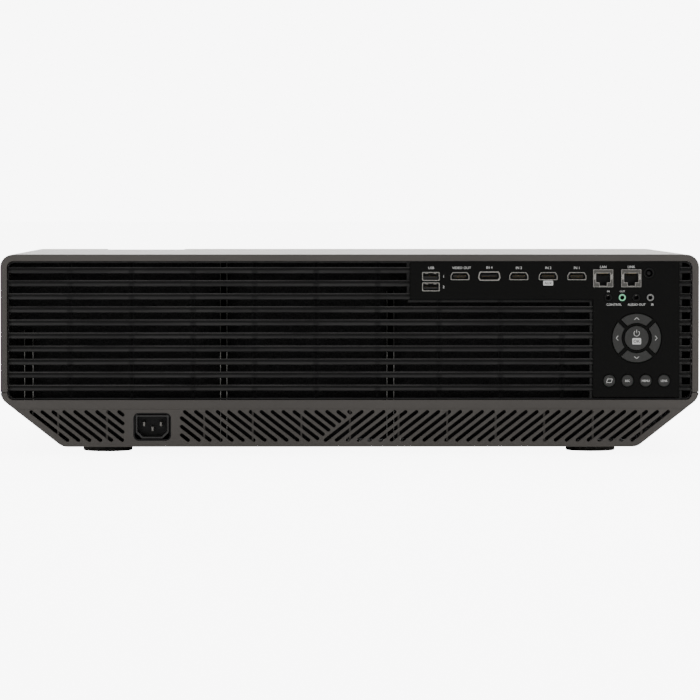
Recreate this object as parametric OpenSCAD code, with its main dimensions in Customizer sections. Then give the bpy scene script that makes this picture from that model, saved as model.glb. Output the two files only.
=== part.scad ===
// Home projector with louvred rear and front panels, a powered lens and screw feet.
// The lens throws along +Y, the connector panel faces -Y, and +Z is up.
// The origin is on the table surface, under the middle of the case.

/* [Case] */
// Width across the side walls
body_w = 576; // [520:1:700]
// Depth from the rear face to the front face
body_d = 430; // [400:1:520]
// Height of the case without its feet
case_h = 158.6; // [152:0.1:175]
// Wall thickness of the mouldings
wall = 3; // [2:0.1:4]
// Width that each lower corner bevel takes from the underside
bevel_w = 51.2; // [40:0.1:60]
// Height of each lower corner bevel
bevel_h = 40; // [36:0.1:42]
// Corner radius along the top edges
top_r = 10.5; // [6:0.1:16]
// Corner radius where a bevel meets the side
bevel_r = 12; // [6:0.1:18]
// Height of the split line between the upper and lower mouldings
seam_h = 44.5; // [43:0.1:50]
// Open gap at the split line
seam_gap = 0.5; // [0.2:0.1:1]

/* [End frames] */
// Width of the frame round each louvred window
frame_t = 5.6; // [4:0.1:9]
// Depth of each frame moulding
frame_d = 12; // [8:0.5:20]
// Corner radius of each window
window_r = 5; // [3:0.5:9]
// Height of the window's lower edge above the underside
window_low = 38.6; // [34:0.1:42]
// Step between the slotted lower panel and the frame
frame_step = 0.6; // [0.2:0.1:1.5]
// Height of that step above the underside
step_h = 30.9; // [30:0.1:33]

/* [Slanting slots] */
// Slot width
slot_w = 3; // [2:0.1:4]
// Distance from slot to slot along the panel
slot_pitch = 9.03; // [8:0.01:14]
// Height of the lower ends' centres
slot_low = 5.6; // [5:0.1:9]
// Height of the upper ends' centres
slot_high = 28.9; // [24:0.1:29]
// Distance from the side of the case to the first slot's upper end
slot_margin = 25.4; // [24:0.1:40]
// Where the two slants meet, measured at the lower ends
chevron_x = -20.4; // [-60:0.1:60]
// Clear strip between the two slants
chevron_gap = 8; // [6:0.1:12]
// Distance between the stiffening ribs behind the slots
stiffener_pitch = 40.1; // [30:0.1:60]

/* [Louvres] */
// Slat height
slat_h = 5.2; // [4:0.1:6]
// Distance from slat to slat
slat_pitch = 10.77; // [10:0.01:14]
// Gap above the first slat
slat_top_gap = 4.9; // [3:0.1:8]
// Depth of a slat
slat_d = 8; // [6:0.5:12]
// How far the slats sit behind the frame
slat_setback = 2.4; // [1:0.1:5]
// Distance between the upright ribs behind the slats
rib_pitch = 50.7; // [40:0.1:80]
// Rib thickness
rib_t = 2; // [1.2:0.1:3]

/* [Connector plate] */
// Overall width of the plate
plate_w = 222; // [215:0.5:240]
// Width of its keypad arm
keypad_w = 71; // [68:0.5:80]
// Height of its connector arm
port_arm_h = 31.4; // [30:0.1:40]
// Width of the louvre strip left beside the plate
strip_w = 10.8; // [8:0.1:20]
// Plate thickness
plate_t = 2.5; // [2:0.1:3.5]
// How far the plate sits behind the frame
plate_setback = 1; // [0.5:0.1:2]

/* [Keypad] */
// Outer radius of the ring of arrow keys
ring_r = 20; // [18:0.1:24]
// Inner radius of the ring of arrow keys
ring_in_r = 12.5; // [11.8:0.1:13.5]
// Radius of the middle key
ok_r = 9.9; // [8:0.1:10.4]
// Width of the diagonal bars between the arrow keys
spoke_w = 3.4; // [2.6:0.1:5]
// Radius of the four small keys
small_key_r = 4.7; // [4:0.1:5.4]
// Distance between the small keys
small_key_pitch = 15.05; // [14:0.05:16]
// Clearance round every key
key_gap = 0.4; // [0.2:0.05:0.6]
// Travel of every key
key_travel = 0.8; // [0.4:0.1:1.2]

/* [Lens] */
// Distance from the left side of the case to the lens axis
lens_inset = 106; // [100:0.5:130]
// Radius of the front barrel
barrel_r = 36; // [30:0.5:38]
// Inner radius of the lens surround
surround_r = 51; // [48:0.5:52]
// Sideways shift each way
shift_x = 9; // [4:0.5:10]
// Upward and downward shift
shift_z = 10; // [4:0.5:11]
// Travel of the focusing barrel
focus_travel = 5; // [2:0.5:6]
// Radius of the carriages' guide rods
rod_r = 3; // [2:0.5:4]
// Running clearance of a shaft in a bore
run_gap = 0.05; // [0.02:0.01:0.1]
// Teeth on a full lens ring
ring_teeth = 84; // [84:1:84]
// Teeth on a motor pinion
pinion_teeth = 12; // [12:1:12]
// Gear module
gear_m = 1; // [1:0.1:1]

/* [Feet] */
// Clear height under the case
foot_h = 6; // [5:0.5:12]
// Foot radius
foot_r = 20.6; // [14:0.1:24]
// Distance between the left and right feet
foot_span_x = 404; // [300:1:410]
// Distance from each end of the case to the feet
foot_inset_y = 60; // [40:1:90]
// How far a front foot screws out
foot_travel = 12; // [4:0.5:14]

/* [Fans] */
// Side of a square fan frame
fan_size = 92; // [60:1:92]
// Depth of a fan frame
fan_d = 25; // [15:1:30]
// Blades on each fan
fan_blades = 7; // [5:1:9]

/* [Ceiling mount] */
// Sideways distance between the mounting holes
mount_x = 180; // [160:1:190]
// Front to back distance between the mounting holes
mount_y = 200; // [190:1:210]
// Radius of each mounting hole
mount_hole_r = 2.5; // [1.5:0.1:3]

/* [Hidden] */

$fn = 48;
far = 1000;
bite = 0.5;
fit_gap = 0.3;
arc_steps = 6;

rear_y = -body_d / 2;
front_y = body_d / 2;
half_w = body_w / 2;
bevel_a = atan(bevel_h / bevel_w);
window_half = half_w - frame_t;
window_top = case_h - frame_t;
window_mid = (window_low + window_top) / 2;
frame_y = body_d / 2 - frame_step;
slat_y = rear_y + frame_step + slat_setback;
slat_count = floor((window_top - slat_top_gap - window_low - slat_h) / slat_pitch) + 1;

// ---- outlines and simple solids -------------------------------------------------------------

function arc(x, z, r, from, to) =
  [for (i = [0 : arc_steps]) let (a = from + (to - from) * i / arc_steps)
    [x + r * cos(a), z + r * sin(a)]];

function round_rect(x0, x1, z0, z1, r) = concat(
  arc(x1 - r, z0 + r, r, -90, 0), arc(x1 - r, z1 - r, r, 0, 90),
  arc(x0 + r, z1 - r, r, 90, 180), arc(x0 + r, z0 + r, r, 180, 270));

// Cross-section of the case, moved inwards by t.
function case_outline(t) = let (
  side_z = bevel_h + bevel_r * (1 - sin(bevel_a)) / cos(bevel_a),
  foot_x = half_w - bevel_w - bevel_r * (1 - cos(bevel_a)) / sin(bevel_a),
  r = bevel_r - t) concat(
  arc(foot_x, bevel_r, r, -90, bevel_a - 90),
  arc(half_w - bevel_r, side_z, r, bevel_a - 90, 0),
  arc(half_w - top_r, case_h - top_r, top_r - t, 0, 90),
  arc(top_r - half_w, case_h - top_r, top_r - t, 90, 180),
  arc(bevel_r - half_w, side_z, r, 180, 270 - bevel_a),
  arc(-foot_x, bevel_r, r, 270 - bevel_a, 270));

// A flat shape drawn in X and Z, given depth from y0 to y1.
module slab_y(y0, y1) {
  translate([0, y1, 0]) rotate([90, 0, 0]) linear_extrude(y1 - y0) children();
}

// A flat shape drawn in Y and Z, given width from x0 to x1.
module slab_x(x0, x1) {
  translate([x0, 0, 0]) rotate([90, 0, 90]) linear_extrude(x1 - x0) children();
}

module block(x0, x1, y0, y1, z0, z1) {
  translate([x0, y0, z0]) cube([x1 - x0, y1 - y0, z1 - z0]);
}

module rod_x(x0, x1, y, z, r) {
  translate([x0, y, z]) rotate([0, 90, 0]) cylinder(r = r, h = x1 - x0);
}

module rod_y(x, z, r, y0, y1) {
  translate([x, y0, z]) rotate([-90, 0, 0]) cylinder(r = r, h = y1 - y0);
}

module rod_z(x, y, r, z0, z1) {
  translate([x, y, z0]) cylinder(r = r, h = z1 - z0);
}

module above(z) { block(-far, far, -far, far, z, far); }
module below(z) { block(-far, far, -far, far, -far, z); }

// ---- slanting slots -------------------------------------------------------------------------

inlet_x = 125 - half_w;
inlet_gap_w = 51.5;
inlet_z = 16.6;
inlet_w = 31;
inlet_h = 23;
inlet_r = 4.5;
inlet_d = 26;
slot_run = (slot_high - slot_low) / tan(bevel_a);
slot_first = slot_margin - half_w;
inlet_gap_left = inlet_x - inlet_gap_w / 2 + slot_w / 2;
inlet_gap_right = inlet_x + inlet_gap_w / 2 - slot_w / 2;
slash_count = floor((-slot_first - chevron_x - slot_run) / slot_pitch);
back_count = ceil((chevron_x + slot_run - slot_first) / slot_pitch);

// A slot with round ends, drawn between two points.
module slot(a, b) {
  turn = atan2(b[1] - a[1], b[0] - a[0]);
  r = slot_w / 2;
  polygon(concat(arc(a[0], a[1], r, turn + 90, turn + 270), arc(b[0], b[1], r, turn - 90, turn + 90)));
}

function fall(x, z) = x + (slot_high - z) / tan(bevel_a);

// Falling slots to the left of the chevron, rising slots to its right.
module slot_field(with_inlet) {
  for (i = [0 : slash_count]) let (top = -slot_first - i * slot_pitch)
    slot([top, slot_high], [top - slot_run, slot_low]);
  for (i = [0 : back_count]) {
    top = slot_first + i * slot_pitch;
    meet = (tan(bevel_a) * (top - chevron_x + chevron_gap) + slot_high + slot_low) / 2;
    low = max(slot_low, meet);
    if (!with_inlet || top > inlet_gap_right) {
      if (low < slot_high) slot([top, slot_high], [fall(top, low), low]);
    } else if (top < inlet_gap_left - slot_w) {
      stop = max(slot_low, slot_high - (inlet_gap_left - top) * tan(bevel_a));
      slot([top, slot_high], [fall(top, stop), stop]);
    } else if (top + slot_run > inlet_gap_right + slot_w / 2) {
      start = slot_high - (inlet_gap_right - top) * tan(bevel_a);
      slot([inlet_gap_right, start], [fall(top, slot_low), slot_low]);
    }
  }
}

// ---- case mouldings -------------------------------------------------------------------------

foot_x = foot_span_x / 2;
foot_y = body_d / 2 - foot_inset_y;
stud_r = 4;
stud_len = 22;
boss_wall = 5;
mount_boss_r = 7;
mount_boss_h = 12;
stiffener_t = 1.6;
stiffener_d = 6;
tongue_t = 1.6;
tongue_h = 5;
vent_len = 60;
vent_pitch = 8;
screw_inset = 30;
screw_r = 3;
screw_head_h = 2;

module window() {
  polygon(round_rect(-window_half, window_half, window_low, window_top, window_r));
}

module stiffeners(count) {
  for (side = [-1, 1], i = [-count : count]) {
    y = side * (body_d / 2 - wall - stiffener_d / 2 + bite / 2);
    if (!(side == -1 && abs(i * stiffener_pitch - inlet_x) < inlet_w / 2 + stiffener_t))
      block(i * stiffener_pitch - stiffener_t / 2, i * stiffener_pitch + stiffener_t / 2,
        y - (stiffener_d + bite) / 2, y + (stiffener_d + bite) / 2, wall - bite, step_h);
  }
}

module screw_spots() {
  for (x = [-1, 1], y = [-1, 1])
    translate([x * (half_w - bevel_w - screw_inset), y * (body_d / 2 - screw_inset), 0]) children();
}

module lower_case() {
  color("#55504b")
  difference() {
    union() {
      difference() {
        slab_y(rear_y, front_y) polygon(case_outline(0));
        slab_y(rear_y + wall, front_y - wall) polygon(case_outline(wall));
      }
      intersection() {
        stiffeners(floor((half_w - bevel_w) / stiffener_pitch) + 1);
        slab_y(rear_y, front_y) polygon(case_outline(wall - bite));
      }
      for (x = [-foot_x, foot_x])
        rod_z(x, foot_y, stud_r + boss_wall, wall - bite, stud_len + wall);
      for (x = [-mount_x / 2, mount_x / 2], y = [-mount_y / 2, mount_y / 2])
        rod_z(x, y, mount_boss_r, wall - bite, mount_boss_h);
    }
    above(seam_h);
    for (side = [-1, 1]) {
      slab_y(side * body_d / 2 - wall - 1, side * body_d / 2 + wall + 1) window();
      block(-far, far, side > 0 ? frame_y : rear_y - 1, side > 0 ? front_y + 1 : -frame_y,
        step_h, far);
    }
    slab_y(rear_y - 1, rear_y + wall) slot_field(true);
    slab_y(front_y - wall, front_y + 1) slot_field(false);
    slab_y(rear_y - 1, rear_y + wall + 1)
      polygon(round_rect(inlet_x - inlet_w / 2, inlet_x + inlet_w / 2,
        inlet_z - inlet_h / 2, inlet_z + inlet_h / 2, inlet_r));
    for (x = [-foot_x, foot_x]) {
      rod_z(x, foot_y, stud_r + run_gap, -1, stud_len + wall + 1);
      rod_z(x, -foot_y, stud_r, -1, wall + 1);
    }
    for (x = [-mount_x / 2, mount_x / 2], y = [-mount_y / 2, mount_y / 2])
      rod_z(x, y, mount_hole_r, -1, mount_boss_h - 2);
    for (side = [-1, 1], i = [-4 : 4])
      block(side * 40 - vent_len / 2, side * 40 + vent_len / 2, i * vent_pitch - 1.5,
        i * vent_pitch + 1.5, -1, wall + 1);
    screw_spots() translate([0, 0, -1]) cylinder(r = screw_r + fit_gap, h = screw_head_h + 1);
  }
}

cover_y = body_d / 2 - frame_d;
service_x0 = -135;
service_x1 = 190;
service_y0 = rear_y + 178;
service_margin = 16;
service_t = 2.4;
ledge = 4;
scoop_w = 71;
scoop_len = 50;
scoop_depth = 0.8;
door_y0 = -40;
door_y1 = 100;
door_low = 62;
door_high = 128;
door_t = 2.5;
hinge_r = door_t / 2;
pin_r = 0.8;
pin_len = 3;
side_slot_h = 50;
side_slot_pitch = 9;
side_slot_count = 15;
dot_r = 1.5;
lens_x = lens_inset - half_w;
lens_z = window_mid;

module upper_shell(y0, y1) {
  difference() {
    slab_y(y0, y1) polygon(case_outline(0));
    slab_y(y0 - 1, y1 + 1) polygon(case_outline(wall));
    below(seam_h + seam_gap);
  }
}

// The shallow scoop over the lens, open at the front edge.
module scoop() {
  block(lens_x - scoop_w / 2, lens_x + scoop_w / 2, front_y - scoop_len, front_y + 1,
    case_h - scoop_depth, case_h + 1);
}

module upper_cover() {
  color("#d8d4ce")
  difference() {
    union() {
      upper_shell(-cover_y, cover_y);
      difference() {
        slab_y(-cover_y + 1, cover_y - 1) polygon(case_outline(wall - bite));
        slab_y(-cover_y, cover_y) polygon(case_outline(wall + fit_gap + tongue_t));
        below(seam_h + seam_gap);
        above(seam_h + seam_gap + tongue_h);
      }
      difference() {
        slab_y(-cover_y + 1, cover_y - 1) polygon(case_outline(wall + fit_gap));
        slab_y(-cover_y, cover_y) polygon(case_outline(wall + fit_gap + tongue_t));
        below(seam_h - tongue_h);
        above(seam_h + seam_gap + tongue_h);
      }
    }
    scoop();
    block(service_x0, service_x1, service_y0, cover_y - service_margin, case_h - service_t, far);
    block(service_x0 + ledge, service_x1 - ledge, service_y0 + ledge,
      cover_y - service_margin - ledge, case_h - wall - 1, far);
    block(half_w - wall - 1, half_w + 1, door_y0, door_y1, door_low, door_high);
    for (y = [door_y0 - pin_len, door_y1])
      translate([half_w - hinge_r, y, door_low + hinge_r + fit_gap]) rotate([-90, 0, 0])
        cylinder(r = pin_r + run_gap, h = pin_len);
    for (i = [0 : side_slot_count - 1])
      block(-half_w - 1, -half_w + wall + 1, door_y0 + i * side_slot_pitch,
        door_y0 + i * side_slot_pitch + slot_w, window_mid - side_slot_h / 2,
        window_mid + side_slot_h / 2);
    rod_z(body_w * 0.04, cover_y - 6, dot_r, case_h - wall - 1, case_h + 1);
  }
}

module service_cover() {
  color("#d8d4ce")
  difference() {
    block(service_x0 + fit_gap, service_x1 - fit_gap, service_y0 + fit_gap,
      cover_y - service_margin - fit_gap, case_h - service_t, case_h);
    for (x = [service_x0 + 12, service_x1 - 12], y = [service_y0 + 12, cover_y - service_margin - 12])
      rod_z(x, y, screw_r + fit_gap, case_h - 1, case_h + 1);
  }
}

module bezel(side) {
  y0 = side < 0 ? -frame_y : cover_y + fit_gap;
  y1 = side < 0 ? -cover_y - fit_gap : frame_y;
  difference() {
    slab_y(y0, y1) polygon(case_outline(0));
    slab_y(y0 - 1, y1 + 1) window();
    below(seam_h + seam_gap);
    // The lower moulding's end walls stand inside the frame's foot, so it is relieved there.
    slab_y(side < 0 ? rear_y + wall + 2 : y0 - 1, side < 0 ? y1 + 1 : front_y - wall - 2)
      polygon(case_outline(wall));
    if (side > 0) scoop();
  }
}

module rear_bezel() { color("#55504b") bezel(-1); }
module front_bezel() { color("#55504b") bezel(1); }

// ---- louvres --------------------------------------------------------------------------------

slat_bead = 0.5;
slat_bead_h = 0.9;
grille_rim = 1.2;
plate_right = window_half - strip_w;
plate_left = plate_right - plate_w;
keypad_left = plate_right - keypad_w;
port_arm_low = window_top - fit_gap - port_arm_h;
plate_low = window_low + 2.2;

function slat_top(i) = window_top - slat_top_gap - i * slat_pitch;

// One slat's section: a bead along the top edge over a face that rolls under.
module slat(x0, x1, i) {
  z = slat_top(i);
  slab_x(x0, x1) polygon([
    [slat_y, z - slat_bead_h], [slat_y, z - 0.2], [slat_y + 0.2, z], [slat_y + slat_d, z - 1],
    [slat_y + slat_d, z - 2.6], [slat_y + 3, z - slat_h], [slat_y + 1.4, z - slat_h],
    [slat_y + slat_bead, z - slat_h + 1], [slat_y + slat_bead, z - slat_bead_h - 0.3]]);
}

module grille_rim_ring() {
  difference() {
    polygon(round_rect(-window_half + fit_gap, window_half - fit_gap, window_low + fit_gap,
      window_top - fit_gap, window_r - fit_gap));
    polygon(round_rect(-window_half + grille_rim, window_half - grille_rim,
      window_low + grille_rim, window_top - grille_rim, window_r - grille_rim));
  }
}

module grille(plain) {
  end = window_half - grille_rim + bite;
  slab_y(slat_y + 1.5, slat_y + slat_d + 2) grille_rim_ring();
  for (i = [0 : slat_count - 1]) {
    if (plain) slat(-end, end, i);
    else {
      under_arm = slat_top(i) < port_arm_low;
      slat(-end, (under_arm ? keypad_left : plate_left) - fit_gap, i);
      slat(plate_right + fit_gap, end, i);
    }
  }
  rib_low = window_low + grille_rim - bite;
  rib_high = window_top - grille_rim + bite;
  for (x = [-window_half + 51.7 : rib_pitch : window_half]) {
    blocked = !plain && x > plate_left - rib_t;
    if (!(blocked && x > keypad_left - rib_t))
      block(x - rib_t / 2, x + rib_t / 2, slat_y + slat_d - 3, slat_y + slat_d + 2, rib_low,
        blocked ? port_arm_low - fit_gap : rib_high);
  }
}

module rear_grille() {
  color("#202020") {
    grille(false);
    // Posts that carry the slat ends beside the plate.
    post_y = slat_y + 2;
    for (p = [[plate_left - fit_gap - 2, port_arm_low], [keypad_left - fit_gap - 2, window_low + bite]])
      block(p[0], p[0] + 2, post_y, slat_y + slat_d + 2, p[1],
        p[1] > window_mid ? window_top - bite : port_arm_low - fit_gap);
    block(plate_right + fit_gap, plate_right + fit_gap + 2, post_y, slat_y + slat_d + 2,
      window_low + bite, window_top - bite);
    block(plate_left - fit_gap - 2, keypad_left - fit_gap, post_y + 1, slat_y + slat_d + 2,
      port_arm_low - fit_gap - 2, port_arm_low - fit_gap);
  }
}

module front_grille() {
  color("#202020")
  difference() {
    mirror([0, 1, 0]) grille(true);
    rod_y(lens_x, lens_z, surround_r + 4 + fit_gap, 0, far);
  }
}

// ---- connector plate and what shows in it ---------------------------------------------------

plate_y = -frame_y + plate_setback;
port_row_z = window_top - 12.3;
jack_row_z = window_top - 30;
keypad_x = plate_right - keypad_w / 2 + 0.4;
ring_z = window_top - 63.4;
small_row_z = window_top - 98.6;
video_w = 15.4;
video_h = 6.4;
display_w = 18.4;
display_h = 7.6;
usb_w = 14.4;
usb_h = 7.2;
usb_step = 8.65;
lan_w = 16.4;
lan_h = 14.6;
jack_pitch = 11.6;
jack_r = 2.9;
jack_bore_r = 1.8;
service_jack_r = 4;
port_gap = 0.25;
board_y = plate_y + 15;
board_t = 1.6;
dish_d = 0.6;

// Distances along the plate run from the keypad arm's left edge.
function port_x(d) = keypad_left + d;
usb_x = port_x(-133.9);
display_x = port_x(-85.7);
video_xs = [port_x(-109.9), port_x(-61.4), port_x(-37.2), port_x(-13.5)];
lan_xs = [port_x(8.2), port_x(31.4)];
jack_xs = [for (i = [0 : 3]) port_x(12.4) + i * jack_pitch];
service_jack_x = port_x(46);
lan_z = port_row_z - 1.8;
usb_z = port_row_z - 0.2;

module usb_outline(g) {
  for (i = [0, 1])
    polygon(round_rect(usb_x - usb_w / 2 - g, usb_x + usb_w / 2 + g,
      usb_z - i * usb_step - usb_h / 2 - g, usb_z - i * usb_step + usb_h / 2 + g, 0.8));
}

// The video socket's mouth is narrower along its upper edge.
module video_outline(x, g) {
  w = video_w / 2 + g;
  h = video_h / 2 + g;
  polygon([for (p = [[-1, -1], [1, -1], [1, 0.1], [0.78, 1], [-0.78, 1], [-1, 0.1]])
    [x + p[0] * w, port_row_z + p[1] * h]]);
}

module display_outline(g) {
  w = display_w / 2 + g;
  h = display_h / 2 + g;
  corners = [[-1, -0.3], [-0.85, -1], [0.85, -1], [1, -0.3], [0.9, 0.7], [0.75, 1], [-0.75, 1],
    [-0.9, 0.7]];
  polygon([for (p = corners) [display_x + p[0] * w, port_row_z + p[1] * h]]);
}

module lan_outline(x, g) {
  polygon(round_rect(x - lan_w / 2 - g, x + lan_w / 2 + g, lan_z - lan_h / 2 - g,
    lan_z + lan_h / 2 + g, 0.6));
}

module plate_outline() {
  translate([plate_left, port_arm_low]) square([plate_w, window_top - fit_gap - port_arm_low]);
  translate([keypad_left, plate_low]) square([keypad_w, window_top - fit_gap - plate_low]);
}

// One arrow key's outline, pointing up before it is turned.
module arrow_key(g) {
  intersection() {
    difference() {
      circle(r = ring_r + g);
      circle(r = ring_in_r - g);
    }
    rotate(45) translate([spoke_w / 2 - g, spoke_w / 2 - g]) square(2 * ring_r);
  }
}

module at_ring(turn) {
  translate([keypad_x, ring_z]) rotate(turn) children();
}

function small_key_x(i) = keypad_x + (i - 1.5) * small_key_pitch;

module io_plate() {
  color("#1a1a18")
  difference() {
    slab_y(plate_y, plate_y + plate_t) plate_outline();
    slab_y(plate_y - 1, plate_y + dish_d) at_ring(0) circle(r = ring_r + 1);
    slab_y(plate_y - 1, plate_y + plate_t + 1) {
      usb_outline(port_gap);
      for (x = video_xs) video_outline(x, port_gap);
      display_outline(port_gap);
      for (x = lan_xs) lan_outline(x, port_gap);
      for (turn = [0, 90, 180, 270]) at_ring(turn) arrow_key(key_gap);
      at_ring(0) circle(r = ok_r + key_gap);
    }
    for (x = jack_xs) rod_y(x, jack_row_z, jack_r + port_gap, -far, 0);
    rod_y(service_jack_x, port_row_z + 2.5, service_jack_r + port_gap, -far, 0);
    for (i = [0 : 3]) {
      rod_y(small_key_x(i), small_row_z, small_key_r + key_gap, -far, 0);
      rod_y(small_key_x(i), small_row_z, small_key_r + 1.4, -far, plate_y + dish_d / 2);
    }
  }
}

key_proud = 0.5;
key_depth = 5;
key_lip = 0.9;

// A key's cap shows through the plate, and its plunger reaches for the switch behind.
module key_body(x, z) {
  slab_y(plate_y - key_proud, plate_y + key_depth) children();
  rod_y(x, z, 1.6, plate_y + key_depth - bite, board_y - key_travel - 1.2);
}

module turned_key(turn) {
  mid = (ring_r + ring_in_r) / 2;
  color("#3a3a38")
  key_body(keypad_x - mid * sin(turn), ring_z + mid * cos(turn)) at_ring(turn) arrow_key(0);
}

module ok_key() {
  color("#3a3a38") {
    key_body(keypad_x, ring_z) at_ring(0) circle(r = ok_r);
    rod_y(keypad_x, ring_z, ok_r + key_lip, plate_y + plate_t + fit_gap, plate_y + key_depth);
  }
}

module small_key(i) {
  color("#3a3a38") {
    key_body(small_key_x(i), small_row_z)
      translate([small_key_x(i), small_row_z]) circle(r = small_key_r);
    rod_y(small_key_x(i), small_row_z, small_key_r + key_lip, plate_y + plate_t + fit_gap,
      plate_y + key_depth);
  }
}

module switch_at(x, z) {
  block(x - 3, x + 3, board_y - 1.1, board_y + bite, z - 3, z + 3);
}

module io_board() {
  color("#1f4a35") {
    slab_y(board_y, board_y + board_t) difference() {
      union() {
        translate([plate_left + 2, port_arm_low + 1]) square([plate_w - 4, port_arm_h - 3]);
        translate([keypad_left + 2, plate_low + 2]) square([keypad_w - 4, window_top - plate_low - 5]);
      }
      for (x = [plate_left + 5, plate_right - 5]) translate([x, port_arm_low + 5]) circle(r = 1.6);
    }
    mid = (ring_r + ring_in_r) / 2;
    switch_at(keypad_x, ring_z);
    for (turn = [0, 90, 180, 270]) switch_at(keypad_x - mid * sin(turn), ring_z + mid * cos(turn));
    for (i = [0 : 3]) switch_at(small_key_x(i), small_row_z);
  }
}

socket_y = plate_y + 0.2;
shell_t = 0.5;

module usb_sockets() {
  color("#b8b4ae") {
    for (i = [0, 1]) {
      z = usb_z - i * usb_step;
      difference() {
        slab_y(socket_y, board_y) polygon(round_rect(usb_x - usb_w / 2, usb_x + usb_w / 2,
          z - usb_h / 2, z + usb_h / 2, 0.6));
        slab_y(socket_y - 1, socket_y + 12) polygon(round_rect(usb_x - usb_w / 2 + 0.8,
          usb_x + usb_w / 2 - 0.8, z - usb_h / 2 + 0.8, z + usb_h / 2 - 0.8, 0.3));
      }
      block(usb_x - 5.5, usb_x + 5.5, socket_y + 1, socket_y + 12 + bite, z - 1.7, z + 0.1);
    }
  }
}

module video_sockets() {
  color("#8d8a84")
  for (x = video_xs) {
    difference() {
      slab_y(socket_y, board_y) video_outline(x, 0);
      slab_y(socket_y - 1, socket_y + 11) video_outline(x, -shell_t);
    }
    block(x - 5.5, x + 5.5, socket_y + 1, socket_y + 11 + bite, port_row_z - 0.6, port_row_z + 0.6);
  }
}

module display_socket() {
  color("#c9c4b8") {
    difference() {
      slab_y(socket_y, board_y) display_outline(0);
      slab_y(socket_y - 1, socket_y + 11) display_outline(-0.9);
    }
    block(display_x - 6.5, display_x + 6.5, socket_y + 1, socket_y + 11 + bite,
      port_row_z - 0.2, port_row_z + 1);
  }
}

lan_open_w = 11.8;
lan_open_h = 7.6;
latch_w = 6;
latch_h = 3;

module network_sockets() {
  color("#b8b4ae")
  for (x = lan_xs)
    difference() {
      slab_y(socket_y, board_y) lan_outline(x, 0);
      block(x - lan_open_w / 2, x + lan_open_w / 2, -far, socket_y + 12.5, lan_z - 3.4,
        lan_z - 3.4 + lan_open_h);
      block(x - latch_w / 2, x + latch_w / 2, -far, socket_y + 12.5, lan_z - 3.4 - latch_h, lan_z);
    }
}

jack_depth = 13.5;

module round_jacks() {
  color("#2a2a2a") {
    for (x = jack_xs)
      difference() {
        rod_y(x, jack_row_z, jack_r, socket_y, board_y);
        rod_y(x, jack_row_z, jack_bore_r, socket_y - 1, socket_y + jack_depth);
      }
    difference() {
      rod_y(service_jack_x, port_row_z + 2.5, service_jack_r, socket_y, board_y);
      rod_y(service_jack_x, port_row_z + 2.5, service_jack_r - 0.9, socket_y - 1, socket_y + 10);
    }
  }
}

// ---- mains inlet ----------------------------------------------------------------------------

well_w = 24.6;
well_h = 16.6;
well_d = 17;
well_cut = 4.6;
inlet_lip = 1.2;

// The well for the plug, with its two lower corners cut off.
module well(g) {
  w = well_w / 2 + g;
  h = well_h / 2 + g;
  polygon([[inlet_x - w + well_cut, inlet_z - h], [inlet_x + w - well_cut, inlet_z - h],
    [inlet_x + w, inlet_z - h + well_cut], [inlet_x + w, inlet_z + h],
    [inlet_x - w, inlet_z + h], [inlet_x - w, inlet_z - h + well_cut]]);
}

module mains_inlet() {
  color("#151515")
  difference() {
    slab_y(rear_y + 0.6, rear_y + inlet_d)
      polygon(round_rect(inlet_x - inlet_w / 2 + fit_gap, inlet_x + inlet_w / 2 - fit_gap,
        inlet_z - inlet_h / 2 + fit_gap, inlet_z + inlet_h / 2 - fit_gap, inlet_r - fit_gap));
    slab_y(rear_y, rear_y + inlet_d + 1) difference() {
      polygon(round_rect(inlet_x - inlet_w / 2 + 1, inlet_x + inlet_w / 2 - 1,
        inlet_z - inlet_h / 2 + 1, inlet_z + inlet_h / 2 - 1, inlet_r - 1));
      well(inlet_lip);
    }
    slab_y(rear_y - 1, rear_y + well_d) well(0);
    for (p = pin_spots) block(p[0] - 1.1, p[0] + 1.1, rear_y + well_d - 1, far, p[1] - 2.1, p[1] + 2.1);
  }
}

pin_spots = [[inlet_x - 7, inlet_z + 2], [inlet_x + 7, inlet_z + 2], [inlet_x, inlet_z - 2]];

module mains_pins() {
  color("#c8c4bc")
  for (p = pin_spots) block(p[0] - 1, p[0] + 1, rear_y + 6, rear_y + inlet_d + 1, p[1] - 2, p[1] + 2);
}

// ---- filter door ----------------------------------------------------------------------------

module filter_door() {
  color("#d8d4ce") {
    hinge_z = door_low + hinge_r + fit_gap;
    difference() {
      block(half_w - door_t, half_w, door_y0 + fit_gap, door_y1 - fit_gap, hinge_z,
        door_high - fit_gap);
      for (i = [0 : 12])
        block(half_w - door_t - 1, half_w + 1, door_y0 + 12 + i * side_slot_pitch,
          door_y0 + 12 + i * side_slot_pitch + slot_w, door_low + 12, door_high - 12);
    }
    rod_y(half_w - hinge_r, hinge_z, hinge_r, door_y0 + fit_gap, door_y1 - fit_gap);
    rod_y(half_w - hinge_r, hinge_z, pin_r, door_y0 - pin_len + fit_gap, door_y1 + pin_len - fit_gap);
  }
}

module air_filter() {
  color("#4a4a4a")
  difference() {
    block(half_w - wall - 13, half_w - wall - 0.2, door_y0 + 2, door_y1 - 2, door_low + 2,
      door_high - 2);
    for (i = [0 : 12])
      block(half_w - wall - 14, half_w - wall - 9, door_y0 + 8 + i * 10, door_y0 + 14 + i * 10,
        door_low + 6, door_high - 6);
  }
}

filter_t = 3;
filter_y = slat_y + slat_d + 18;

// The intake filter is a flat sheet of open foam behind the rear louvres.
module rear_filter() {
  color("#141414")
  slab_y(filter_y, filter_y + filter_t) polygon(case_outline(wall + tongue_t + 2 * fit_gap));
}

// ---- lens and shift carriages ---------------------------------------------------------------

base_y = 100;
plate_thick = 4;
carriage_x_y = 112;
carriage_z_y = 124;
barrel_rear_r = 30;
swing_r = barrel_rear_r + 16;
rod_x_z = 50;
rod_z_x = 58;
surround_lip = 4;
funnel_y = front_y - 30;

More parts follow.
